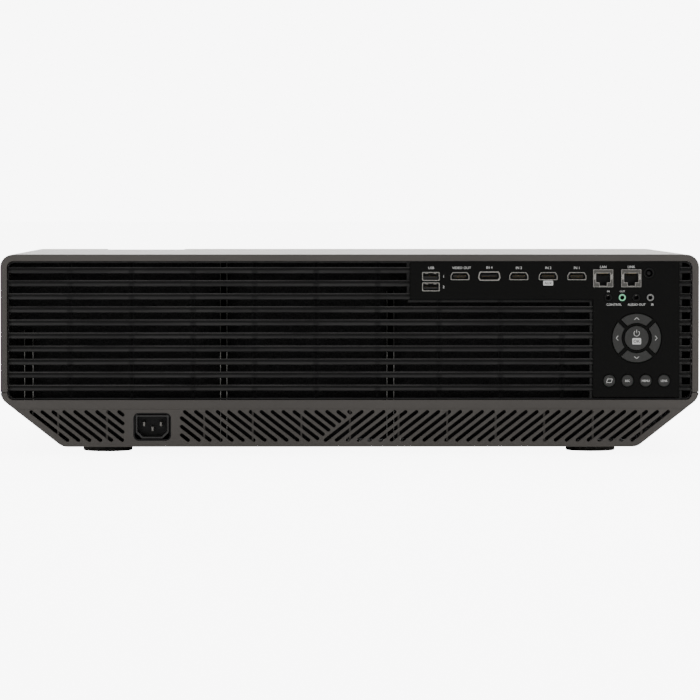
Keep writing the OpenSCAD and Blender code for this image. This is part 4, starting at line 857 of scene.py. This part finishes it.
b = Build()
b.frameWall(wellOutline(inlet["lip"]), wellOutline(-0.02), *inlet["frameY"])
b.done("inletFrame", [inletGrey], edge=0.3, slotName="jack_black")
# The pins take the darker nickel: painted shade.
b = Build()
for dx, dz in inlet["pins"]:
    x, z, (wide, tall), (y0, y1) = inlet["x"] + dx, inlet["z"] + dz, inlet["pinHalf"], inlet["pinY"]
    b.box((x - wide, y0, z - tall), (x + wide, y1, z + tall))
b.done("inletPins", [shadedPinNickel], edge=0.45, segments=3, slotName="pin_metal", stands=("mains_pins",))

# Keys: a ring of four round a middle one, and a row of four small ones
keypad = {"x": 236.5, "ringZ": 95.6, "ringOut": 20.0, "ringIn": 12.5, "okR": 9.9, "spoke": 3.4, "smallZ": 60.4,
          "smallR": 4.7, "smallPitch": 15.05, "front": -213.9, "back": -208.4}


def polarAt(x, z, r, degrees):
    return x + r * math.cos(math.radians(degrees)), z + r * math.sin(math.radians(degrees))


def sector(turn):  # one arrow key's outline, turned about the ring's centre
    outer, inner, gap = keypad["ringOut"], keypad["ringIn"], keypad["spoke"] / 2
    outerA = math.degrees(math.asin(gap / outer))
    innerA = math.degrees(math.asin(gap / inner))
    polar = [(outer, 45 + outerA + (90 - 2 * outerA) * i / 16) for i in range(17)]
    polar += [(inner, 135 - innerA - (90 - 2 * innerA) * i / 12) for i in range(13)]
    return [polarAt(keypad["x"], keypad["ringZ"], r, a + turn) for r, a in polar]


def keyCap(name, node, outline, stemAt):
    b = Build()
    b.slab(outline, keypad["front"], keypad["back"])
    b.lathe([(0, 0), (1.6, 0), (1.6, 8.0), (0, 8.0)], (stemAt[0], keypad["back"] - 0.4, stemAt[1]), segments=20)
    return b.done(name, [keyGrey], body=node, edge=0.35, segments=3, slotName="key_grey", stands=(node,))


def disc(x, z, r, steps=64):
    return [polarAt(x, z, r, 360 * i / steps) for i in range(steps)]


ringX, ringZ, smallZ = keypad["x"], keypad["ringZ"], keypad["smallZ"]
midRing = (keypad["ringOut"] + keypad["ringIn"]) / 2
arrowTurns = {"up_key": 0, "left_key": 90, "down_key": 180, "right_key": 270}
for node, turn in arrowTurns.items():
    keyCap(node.replace("_key", "Key"), node, sector(turn), polarAt(ringX, ringZ, midRing, 90 + turn))
keyCap("okKey", "ok_key", disc(ringX, ringZ, keypad["okR"]), (ringX, ringZ))
smallXs = [ringX + (i - 1.5) * keypad["smallPitch"] for i in range(4)]
smallKeys = ["keystone_key", "escape_key", "menu_key", "lens_key"]
for node, x in zip(smallKeys, smallXs):
    keyCap(node.replace("_key", "Key"), node, disc(x, smallZ, keypad["smallR"], 48), (x, smallZ))
print("keys built")


# Printing: letters and icons as thin films, one mesh for each body
inkHalf = 0.012  # half the thickness of a printed film


class Print:
    def __init__(self):
        self.bm = bmesh.new()

    def text(self, words, x, z, height, y, weight=0.0):
        curve = bpy.data.curves.new("letters", "FONT")
        curve.body = words
        curve.size = height * 1.39 * mm  # a capital is this much smaller than its size
        curve.align_x = "CENTER"
        curve.extrude = inkHalf * mm
        curve.offset = weight * mm
        curve.resolution_u = 3
        holder = link("letters", curve)
        bpy.context.view_layer.update()
        mesh = bpy.data.meshes.new_from_object(holder.evaluated_get(bpy.context.evaluated_depsgraph_get()))
        stood = Matrix.Rotation(math.radians(90), 4, "X")
        mesh.transform(Matrix.Translation((x * mm, y * mm, (z - height / 2) * mm)) @ stood)
        self.bm.from_mesh(mesh)
        bpy.data.objects.remove(holder)
        bpy.data.meshes.remove(mesh)
        return self

    def shape(self, points, y):  # a filled outline in X and Z
        front, back = ([self.bm.verts.new((x * mm, (y + dy) * mm, z * mm)) for x, z in points]
                       for dy in (-inkHalf, inkHalf))
        self.bm.faces.new(front)
        self.bm.faces.new(back[::-1])
        for i in range(len(points)):
            j = (i + 1) % len(points)
            self.bm.faces.new((front[i], back[i], back[j], front[j]))

    def stroke(self, points, width, y):  # a bent line of even width
        for (x0, z0), (x1, z1) in zip(points, points[1:]):
            length = math.hypot(x1 - x0, z1 - z0)
            nx, nz = -(z1 - z0) / length * width / 2, (x1 - x0) / length * width / 2
            self.shape([(x0 + nx, z0 + nz), (x1 + nx, z1 + nz), (x1 - nx, z1 - nz), (x0 - nx, z0 - nz)], y)

    def done(self, name, body="case", materials=None, slotName="case_pale"):
        mesh = meshFrom(self.bm, name, turnOut=False)
        for material in materials or [printWhite]:
            mesh.materials.append(material)
        return settle(link(name, mesh), body)


printInk = moulded("printInk", (0.012, 0.012, 0.012), 0.5, grain=2000, grainDepth=0.005)
labels = {
    "plate": [("USB", 66.9, 153.6, 2.1), ("1", 77.2, 146.6, 2.2), ("2", 77.2, 137.9, 2.2),
              ("VIDEO OUT", 92.0, 153.6, 2.1),
              ("IN 4", 114.9, 153.9, 2.1), ("IN 3", 139.2, 153.6, 2.1), ("IN 2", 163.4, 153.6, 2.1),
              ("IN 1", 187.1, 153.6, 2.1), ("LAN", 208.8, 154.4, 2.1), ("LINK", 232.0, 154.4, 2.1),
              ("IN", 213.0, 134.2, 1.5), ("OUT", 224.6, 134.2, 1.5), ("CONTROL", 217.8, 123.3, 1.9),
              ("AUDIO OUT", 236.4, 123.3, 1.9), ("IR", 249.4, 123.3, 1.9)],
    "badge": (163.4, 141.0), "badgeHalf": (4.1, 2.0), "film": 0.02, "overFilm": 0.03, "line": 0.42,
    "chevronOut": 16.2,
}
p = Print()
filmY = faceY - labels["film"]
for words, x, z, height in labels["plate"]:
    p.text(words, x, z, height, filmY, 0.012)
(badgeX, badgeZ), (wide, tall) = labels["badge"], labels["badgeHalf"]
p.shape(roundRect(badgeX - wide, badgeX + wide, badgeZ - tall, badgeZ + tall, 0.6, 3), filmY)
p.done("platePrint")
p = Print()
p.text("AUX", badgeX, badgeZ, 2.1, filmY - labels["overFilm"], 0.03)
p.done("badgePrint", materials=[printInk], slotName="plate_black")

keyFilm = keypad["front"] - labels["film"]
for node, turn in arrowTurns.items():
    p = Print()
    a = math.radians(turn)
    points = []
    for dx, dz in ((-1.9, -0.95), (0, 0.75), (1.9, -0.95)):
        lz = dz + labels["chevronOut"]
        points.append((ringX + dx * math.cos(a) - lz * math.sin(a), ringZ + dx * math.sin(a) + lz * math.cos(a)))
    p.stroke(points, labels["line"], keyFilm)
    p.done(node.replace("_key", "Chevron"), body=node)
p = Print()
p.shape(roundRect(ringX - 3.65, ringX + 3.65, ringZ - 5.2, ringZ, 0.9, 4), keyFilm)
p.stroke([polarAt(ringX, ringZ + 3.9, 2.3, a) for a in range(125, 416, 15)], labels["line"], keyFilm)
p.stroke([(ringX, ringZ + 4.2), (ringX, ringZ + 6.9)], labels["line"], keyFilm)
p.done("okPrint", body="ok_key")
p = Print()
p.text("OK", ringX, ringZ - 2.6, 2.7, keyFilm - labels["overFilm"], 0.05)
p.done("okLetters", body="ok_key", materials=[printInk], slotName="plate_black")
for node, x, words in zip(smallKeys, smallXs, ("", "ESC", "MENU", "LENS")):
    p = Print()
    if words:
        p.text(words, x, smallZ, 1.75, keyFilm, 0.03)
    else:
        low, high = smallZ - 1.5, smallZ + 1.5
        p.stroke([(x - 2.4, low), (x - 1.2, high), (x + 2.6, high), (x + 1.6, low), (x - 2.4, low)], 0.4, keyFilm)
    p.done(node.replace("_key", "Print"), body=node)
print("printing done")

# Lens: light trap, inner glass, retaining rings and grips
glassViolet = coatedGlass("glassViolet", (0.40, 0.34, 0.62))
glassAmber = coatedGlass("glassAmber", (0.56, 0.46, 0.30))
lensParts = {
    # radius, y of the edge, rise of the front and thickness of each element behind the front one
    "glass": [("secondGlass", glassViolet, "focus_barrel", (23.8, 184.6, 3.4, 3.2)),
              ("thirdGlass", glassAmber, "focus_barrel", (23.8, 163.0, 2.6, 3.0)),
              ("rearGlass", glassViolet, "lens", (26.8, 128.0, 4.4, 5.0))],
    "seat": [(23.9, 191.55), (23.2, 191.4), (21.9, 189.6), (22.6, 188.2), (23.9, 187.6)],
    "thread": (30.5, 30.98, 203.0, 0.4, 5), "rim": [(35.2, 203.5), (35.2, 203.62), (34.6, 203.62), (34.6, 203.5)],
    "trap": (50.45, 51.0, 208.4, 0.9, 26),
    # bars round the axis: radius, y of the middle, how many, then width, length and height of one
    "grips": [("focusGrip", "focus_barrel", 36.1, 197.5, 120, (0.9, 8.0, 0.5)),
              ("barrelRibs", "lens", 37.1, 153.0, 72, (1.1, 6.0, 0.5))],
}


def aboutLens(build, profile):
    build.lathe(profile, (opening["x"], 0, opening["z"]), segments=96)


def dome(r, edgeY, bulge, thick, steps=8):  # a lens element, its front rising by bulge over its edge
    front = [(r * (1 - i / steps), edgeY + bulge * (1 - (1 - i / steps) ** 2)) for i in range(steps + 1)]
    back = [(r * i / steps, edgeY - thick - 0.35 * bulge * (1 - (i / steps) ** 2)) for i in range(steps + 1)]
    return front + back


def ridges(low, high, y, pitch, count):  # a wall that steps in and out as it runs back
    return [(high if i % 2 else low, y - pitch * i) for i in range(count)]


for name, glass, body, size in lensParts["glass"]:
    b = Build()
    aboutLens(b, dome(*size))
    b.done(name, [glass], body=body, slotName="lens_glass")

b = Build()  # stepped rings that hold the front elements
aboutLens(b, lensParts["seat"])
aboutLens(b, [(31.0, 203.35), (30.6, 203.2)] + ridges(*lensParts["thread"]))
b.slot = 1
aboutLens(b, lensParts["rim"])
b.done("retainingRings", [lensBlack, nickel], body="focus_barrel", slotName="lens_black")

b = Build()  # ridges that swallow stray light inside the surround
aboutLens(b, [(51.02, 209.0)] + ridges(*lensParts["trap"]) + [(51.02, 185.2)])
b.done("lightTrap", [lensBlack], slotName="lens_black")


def ringOf(name, body, radius, y, count, size):  # bars set round the lens axis, long side along Y
    g = Growth(name)
    points = g.ask("Bars", "Int", count)
    reach = g.ask("Radius", "Float", radius * mm)
    long = g.ask("Length", "Float", size[1] * mm)
    wide = g.ask("Width", "Float", size[0] * mm)
    circle = g.node("GeometryNodeMeshCircle", {}, {"Vertices": points, "Radius": reach}).outputs[0]
    centre = tuple(v * mm for v in (opening["x"], y, opening["z"]))
    stood = g.node("GeometryNodeTransform", {}, {"Geometry": circle, "Rotation": (math.radians(90), 0, 0),
                                                 "Translation": centre}).outputs[0]
    angle = g.sum("MULTIPLY", g.sum("DIVIDE", g.index(), points), -2 * math.pi)
    bar = g.node("GeometryNodeMeshCube", {}, {"Size": g.xyz(X=size[2] * mm, Y=long, Z=wide)}).outputs[0]
    g.grow(g.repeat(stood, bar, Rotation=g.xyz(Y=angle)), lensBlack, body=body, slotName="lens_black")


for grip in lensParts["grips"]:
    ringOf(*grip)
print("lens built")

# Fans: twisted blades swept round a hub, one tree for both rotors
fans = {"xs": {"fan_rotor_left": 86.4, "fan_rotor_right": 196.4}, "z": 101.8, "middle": 177.5, "hub": 18.0,
        "tip": 41.0, "blades": 7, "pitchRoot": 42.0, "pitchTip": 22.0, "sweep": 26.0, "chordRoot": 17.0,
        "chordTip": 25.0, "thick": 1.5, "sunk": 0.8, "camber": 1.6, "capTop": 10.5, "sticker": 10.9}


def bladeSeed():
    b = Build()
    rows, f = [], fans
    stations, chords = 7, 8
    for i in range(stations + 1):
        t = i / stations
        r = f["hub"] - f["sunk"] + (f["tip"] - f["hub"] + f["sunk"]) * t
        pitch = math.radians(f["pitchRoot"] + (f["pitchTip"] - f["pitchRoot"]) * t)
        chord = f["chordRoot"] + (f["chordTip"] - f["chordRoot"]) * t
        lean = math.radians(f["sweep"]) * t * t
        row = []
        for side in (1, -1):
            for k in range(chords + 1):
                u = k / chords if side > 0 else 1 - k / chords
                s = (u - 0.5) * chord
                fullness = 0.25 + math.sin(math.pi * u) ** 0.6 * 0.75
                bulge = f["camber"] * (1 - (2 * u - 1) ** 2) + side * f["thick"] / 2 * fullness
                across = s * math.cos(pitch) - bulge * math.sin(pitch)
                along = s * math.sin(pitch) + bulge * math.cos(pitch)
                a = lean + across / r
                row.append(b.bm.verts.new((r * math.sin(a) * mm, along * mm, r * math.cos(a) * mm)))
        rows.append(row)
    skin(b.bm, rows)
    return seedObject("bladeSeed", b)


def skin(bm, rows):  # faces between closed rows of points, and over both ends
    n = len(rows[0])
    for a, c in zip(rows, rows[1:]):
        for i in range(n):
            bm.faces.new((a[i], a[(i + 1) % n], c[(i + 1) % n], c[i]))
    bm.faces.new(rows[0])
    bm.faces.new(rows[-1][::-1])


def hubSeed():
    b = Build()
    top = fans["capTop"]
    b.lathe([(0, -8.5), (17.2, -8.5), (18, -7.7), (18, top - 1.6), (17.0, top - 0.4), (15.5, top), (11.5, top),
             (11.2, top - 0.5), (0, top - 0.5)], (0, 0, 0), segments=72)
    b.lathe([(0, -12), (2, -12), (2, -8), (0, -8)], (0, 0, 0), segments=24)
    return seedObject("hubSeed", b)


blade, hub = bladeSeed(), hubSeed()
stickerGrey = moulded("stickerGrey", (0.42, 0.42, 0.41), 0.3, grain=900, grainDepth=0.004)
for node, x in fans["xs"].items():
    g = Growth(node.replace("_rotor_", "Blades").title().replace("_", ""))
    count = g.ask("Blades", "Int", fans["blades"])
    angle = g.sum("MULTIPLY", g.sum("DIVIDE", g.index(), count), 2 * math.pi)
    wings = g.repeat(g.count(count), g.source("Blade", blade), Rotation=g.xyz(Y=angle))
    both = g.node("GeometryNodeJoinGeometry")
    g.tree.links.new(wings, both.inputs[0])
    g.tree.links.new(g.source("Hub", hub), both.inputs[0])
    place = tuple(v * mm for v in (x, fans["middle"], fans["z"]))
    moved = g.node("GeometryNodeTransform", {}, {"Geometry": both.outputs[0], "Translation": place})
    g.grow(moved.outputs[0], fanBlack, body=node, slotName="fan_black", stands=(node,))
drop(blade, hub)
for node, x in fans["xs"].items():
    b = Build()
    y, r = fans["middle"] + 10.0, fans["sticker"]
    b.lathe([(0, y + 0.06), (r - 0.1, y + 0.06), (r, y), (0, y)], (x, 0, fans["z"]))
    b.done("sticker" + node[-5:].title().replace("_", ""), [stickerGrey], body=node, slotName="case_pale")
print("fans built")

# Screws: rounded heads with six-sided sockets, grown on listed points
screws = {"head": 2.85, "tall": 0.85, "socket": 1.45, "deep": 0.6,
          "cover": [(-123, -25), (178, -25), (-123, 175), (178, 175)], "coverZ": 164.55,
          "base": [(-206.8, 185), (206.8, 185), (-206.8, -185), (206.8, -185)], "baseZ": 6.05}


def socketHead():
    b = Build()
    head, tall, socket, deep = (screws[key] for key in ("head", "tall", "socket", "deep"))
    sides, rings = 36, []
    # radius and height down the head, then down its socket, where the ring has six flats
    for radius, z, hexed in ((head, -tall, 0), (head, -0.35, 0), (head - 0.12, -0.12, 0), (head - 0.4, 0, 0),
                             (socket + 0.12, 0, 1), (socket, -0.12, 1), (socket, -deep, 1), (0.05, -deep - 0.1, 0)):
        ring = []
        for i in range(sides):
            a = 2 * math.pi * i / sides
            r = radius / math.cos((a % (math.pi / 3)) - math.pi / 6) if hexed else radius
            ring.append(b.bm.verts.new((r * math.cos(a) * mm, r * math.sin(a) * mm, z * mm)))
        rings.append(ring)
    skin(b.bm, rings)
    return seedObject("headSeed", b)


def screwRow(name, points, z, flip, stands=()):
    seed = socketHead()
    b = Build()
    for x, y in points:
        b.bm.verts.new((x * mm, y * mm, z * mm))
    g = Growth(name)
    head = g.source("Head", seed)
    twist = g.node("FunctionNodeRandomValue", {"data_type": "FLOAT"},
                   {"Min": 0.0, "Max": math.pi / 3, "Seed": g.ask("Seed", "Int", scatterSeed)})
    angle = g.xyz(X=math.pi if flip else 0.0, Z=twist.outputs["Value"])
    g.grow(g.repeat(g.start.outputs["Geometry"], head, Rotation=angle), steelTurned, slotName="steel", stands=stands,
           bodyMesh=meshFrom(b.bm, name + "Points", turnOut=False))
    drop(seed)


screwRow("coverScrews", screws["cover"], screws["coverZ"], False)
screwRow("baseScrews", screws["base"], screws["baseZ"], True, stands=("case_screws",))
print("screws set")

# Speaker cones in their bores
cones = {"xs": (-78.0, -42.0, 0.0, 36.0), "y": 195.3, "z": 26,
         "paper": ((0, 3.4), (2.2, 3.1), (3.8, 1.9), (4.4, 1.0), (9.2, 5.0)),
         "roll": ((9.2, 5.0), (9.8, 6.2), (10.8, 6.6), (11.8, 6.2), (12.3, 5.2), (12.9, 5.2), (12.9, 0.2))}
coneGrey = moulded("coneGrey", (0.03, 0.03, 0.031), 0.6, grain=700, grainDepth=0.05)
rollBlack = rubberLike("rollBlack", (0.01, 0.01, 0.01))
b = Build()
for x in cones["xs"]:
    for b.slot, profile in enumerate((cones["paper"], cones["roll"])):
        b.lathe(profile, (x, cones["y"], cones["z"]), segments=48)
b.done("speakerCones", [coneGrey, rollBlack], slotName="fan_black")

# Pleated filter behind the side door, and the sensor window in the lid
fleece = foamLike("fleece", (0.42, 0.43, 0.42))
pleats = {"x": (272.2, 284.6), "y": (-36.0, 96.0), "z": (72.0, 130.0), "pitch": 4.4, "sheet": 0.45,
          "frame": ((272.0, 284.8), (-38.0, 98.0), (70.0, 132.0)), "frameThick": 2.2}
b = Build()
x0, x1, step, sheet = (v * mm for v in (*pleats["x"], pleats["pitch"] / 2, pleats["sheet"]))
foldPoints = [(x0, 0), (x1, step), (x0, 2 * step)]
for (ax, ay), (cx, cy) in zip(foldPoints, foldPoints[1:]):
    footprint = ((ax, ay - sheet), (cx, cy - sheet), (cx, cy + sheet), (ax, ay + sheet))
    quad = [b.bm.verts.new((px, py, pz)) for pz in (0, 1) for px, py in footprint]
    for ids in ((0, 1, 2, 3), (4, 7, 6, 5), (0, 4, 5, 1), (1, 5, 6, 2), (2, 6, 7, 3), (3, 7, 4, 0)):
        b.bm.faces.new([quad[i] for i in ids])
seed = seedObject("pleatSeed", b)
g = Growth("filterPleats")
(y0, y1), (z0, z1) = pleats["y"], pleats["z"]
count = g.ask("Pleats", "Int", int((y1 - y0) / pleats["pitch"]))
pitch = g.ask("Pitch", "Float", pleats["pitch"] * mm)
row = g.count(count, (0, y0 * mm, z0 * mm), g.xyz(Y=pitch))
g.grow(g.repeat(row, g.source("Pleat", seed), Scale=(1, 1, (z1 - z0) * mm)), fleece, slotName="foam_grey",
       stands=("air_filter",))
drop(seed)
b = Build()
(x0, x1), (y0, y1), (z0, z1) = pleats["frame"]
t = pleats["frameThick"]
for low, high in (((x0, y0, z0), (x1, y0 + t, z1)), ((x0, y1 - t, z0), (x1, y1, z1)),
                  ((x0, y0 + t, z0), (x1, y1 - t, z0 + t)), ((x0, y0 + t, z1 - t), (x1, y1 - t, z1))):
    b.box(low, high)
b.done("filterFrame", [ribBlack], edge=0.3, slotName="foam_grey", stands=("air_filter",))

b = Build()
b.lathe([(0, 0.1), (0.9, 0.05), (1.35, -0.3), (1.45, -1.2), (0, -1.2)], (23.04, 197, 164.45), axis="Z", segments=32)
sensorRed = moulded("sensorRed", (0.03, 0.004, 0.006), 0.12, grain=400, grainDepth=0.002, Coat_Weight=0.6)
b.done("sensorWindow", [sensorRed], slotName="plate_black")
print("filter, cones and sensor built")


# Boards: parts of a CAD node take their own finish by height, and small parts are scattered
def refinish(node, materials, rule):
    mesh = nodes[node].data
    for material in materials:
        mesh.materials.append(material)
    for face in mesh.polygons:
        face.material_index = rule(face.center / mm)


chipBlack = moulded("chipBlack", (0.014, 0.014, 0.015), 0.4, grain=1200, grainDepth=0.01)
capBlue = moulded("capBlue", (0.02, 0.03, 0.09), 0.3, grain=900, grainDepth=0.01)
tapeAmber = moulded("tapeAmber", (0.45, 0.30, 0.05), 0.35, grain=700, grainDepth=0.02)


def supplyRule(c):
    if c.z < 15.65:
        return 0
    if c.x > -145:
        return 1
    return 2 if c.y > -135 else 3


refinish("power_supply", [capBlue, tapeAmber, chipBlack], supplyRule)
refinish("main_board", [chipBlack, finAlloy, gearIvory],
         lambda c: 0 if c.z < 25.65 else (3 if c.y > 0 else (2 if c.z > 32.05 else 1)))
refinish("io_board", [chipBlack], lambda c: 1 if c.y < -198.45 else 0)

scatter = {"areas": ((52, 180, -14, 18), (52, 72, -170, 74)), "top": 25.62, "density": 30000.0,
           "spacing": 3.4, "wider": 1.3,
           "parts": {"chip": ((2.6, 1.9, 0.9), chipBlack), "resistor": ((1.6, 0.8, 0.5), chipBlack),
                     "filterCan": ((2.2, 2.2, 2.4), nickel)}}
for i, (shapeName, (size, material)) in enumerate(scatter["parts"].items()):
    b = Build()
    z = (scatter["top"] + size[2] / 2) * mm
    for x0, x1, y0, y1 in scatter["areas"]:
        b.bm.faces.new([b.bm.verts.new((x * mm, y * mm, z)) for x, y in ((x0, y0), (x1, y0), (x1, y1), (x0, y1))])
    g = Growth("board" + shapeName[0].upper() + shapeName[1:])
    spacing = g.ask("Spacing", "Float", (scatter["spacing"] + scatter["wider"] * i) * mm)
    spots = g.node("GeometryNodeDistributePointsOnFaces", {"distribute_method": "POISSON"},
                   {"Mesh": g.start.outputs["Geometry"], "Distance Min": spacing,
                    "Density Max": g.ask("Density", "Float", scatter["density"]),
                    "Seed": g.ask("Seed", "Int", scatterSeed + i)}).outputs["Points"]
    part = g.node("GeometryNodeMeshCube", {}, {"Size": tuple(v * mm for v in size)}).outputs[0]
    quarter = g.node("FunctionNodeRandomValue", {"data_type": "INT"},
                     {"Min": 0, "Max": 1, "Seed": g.ask("Turn seed", "Int", scatterSeed)})
    turns = quarter.outputs["Value"] if quarter.outputs["Value"].enabled else quarter.outputs[2]
    spin = g.xyz(Z=g.sum("MULTIPLY", turns, math.pi / 2))
    g.grow(g.repeat(spots, part, Rotation=spin), material, slotName="board_green",
           bodyMesh=meshFrom(b.bm, shapeName + "Sheet", turnOut=False))
print("boards dressed")

# Camera, floor and lights
view = {
    "cameraSpot": (-41, -3877, 209), "target": (0, -215, 85.9), "lens": 228.7, "sensor": 36.0,
    "floorTone": (0.82, 0.82, 0.82), "floorGlow": 7.6, "skyLow": 0.12, "skyHigh": 0.55, "skySeen": 8.4,
}


def aim(obj, target):
    way = Vector(target) - obj.location
    obj.rotation_euler = way.to_track_quat("-Z", "Y").to_euler()


camera = link("camera", bpy.data.cameras.new("camera"))
camera.location = Vector(view["cameraSpot"]) * mm
camera.data.lens = view["lens"]
camera.data.sensor_width = view["sensor"]
camera.data.clip_end = 60
aim(camera, Vector(view["target"]) * mm)
scene.camera = camera


def softbox(name, spot, target, size, power):
    data = bpy.data.lights.new(name, "AREA")
    data.shape = "RECTANGLE"
    data.size, data.size_y = size
    data.energy = power
    lamp = link(name, data)
    lamp.location = spot
    aim(lamp, target)


softbox("overhead", (0, 0.5, 2.3), (0, 0.05, 0), (3.2, 2.4), 62)
softbox("frontLeft", (-2.2, -3.0, 1.5), (0, 0, 0.08), (1.6, 1.6), 30)
softbox("frontRight", (2.3, -2.8, 1.2), (0, 0, 0.08), (1.6, 1.6), 22)
softbox("behind", (0.4, 2.9, 1.6), (0, 0, 0.08), (2.4, 1.6), 34)

# The floor and the air behind it glow for the camera alone, so the light on the object stays as set.
floorMesh = bpy.data.meshes.new("floor")
floorMesh.from_pydata([(-40, -40, 0), (40, -40, 0), (40, 40, 0), (-40, 40, 0)], [], [(0, 1, 2, 3)])
floor = link("floor", floorMesh)
floorPaint = Shader("floorPaint", view["floorTone"], 0.6, Emission_Strength=view["floorGlow"])
floorPaint.rough(0.58 + floorPaint.noise(3) * 0.05)
seen = Wire(floorPaint, floorPaint.node("ShaderNodeLightPath").outputs["Is Camera Ray"])
floorPaint.put(floorPaint.bsdf.inputs["Emission Color"], floorPaint.mix(seen, (0, 0, 0), (1, 1, 1)))
floorMesh.materials.append(floorPaint.material)

world = bpy.data.worlds.new("studio")
scene.world = world
world.use_nodes = True
sky = world.node_tree
background = sky.nodes["Background"]
background.inputs[0].default_value = (1, 1, 1, 1)
path = sky.nodes.new("ShaderNodeLightPath")
split = sky.nodes.new("ShaderNodeSeparateXYZ")
sky.links.new(sky.nodes.new("ShaderNodeTexCoord").outputs["Generated"], split.inputs[0])
rise = sky.nodes.new("ShaderNodeMapRange")
for slot, value in zip(("From Min", "From Max", "To Min", "To Max"), (-0.05, 0.9, view["skyLow"], view["skyHigh"])):
    rise.inputs[slot].default_value = value
sky.links.new(split.outputs["Z"], rise.inputs["Value"])
choose = sky.nodes.new("ShaderNodeMix")
choose.inputs["B"].default_value = view["skySeen"]
sky.links.new(path.outputs["Is Camera Ray"], choose.inputs["Factor"])
sky.links.new(rise.outputs["Result"], choose.inputs["A"])
sky.links.new(choose.outputs["Result"], background.inputs[1])
print("stage set")
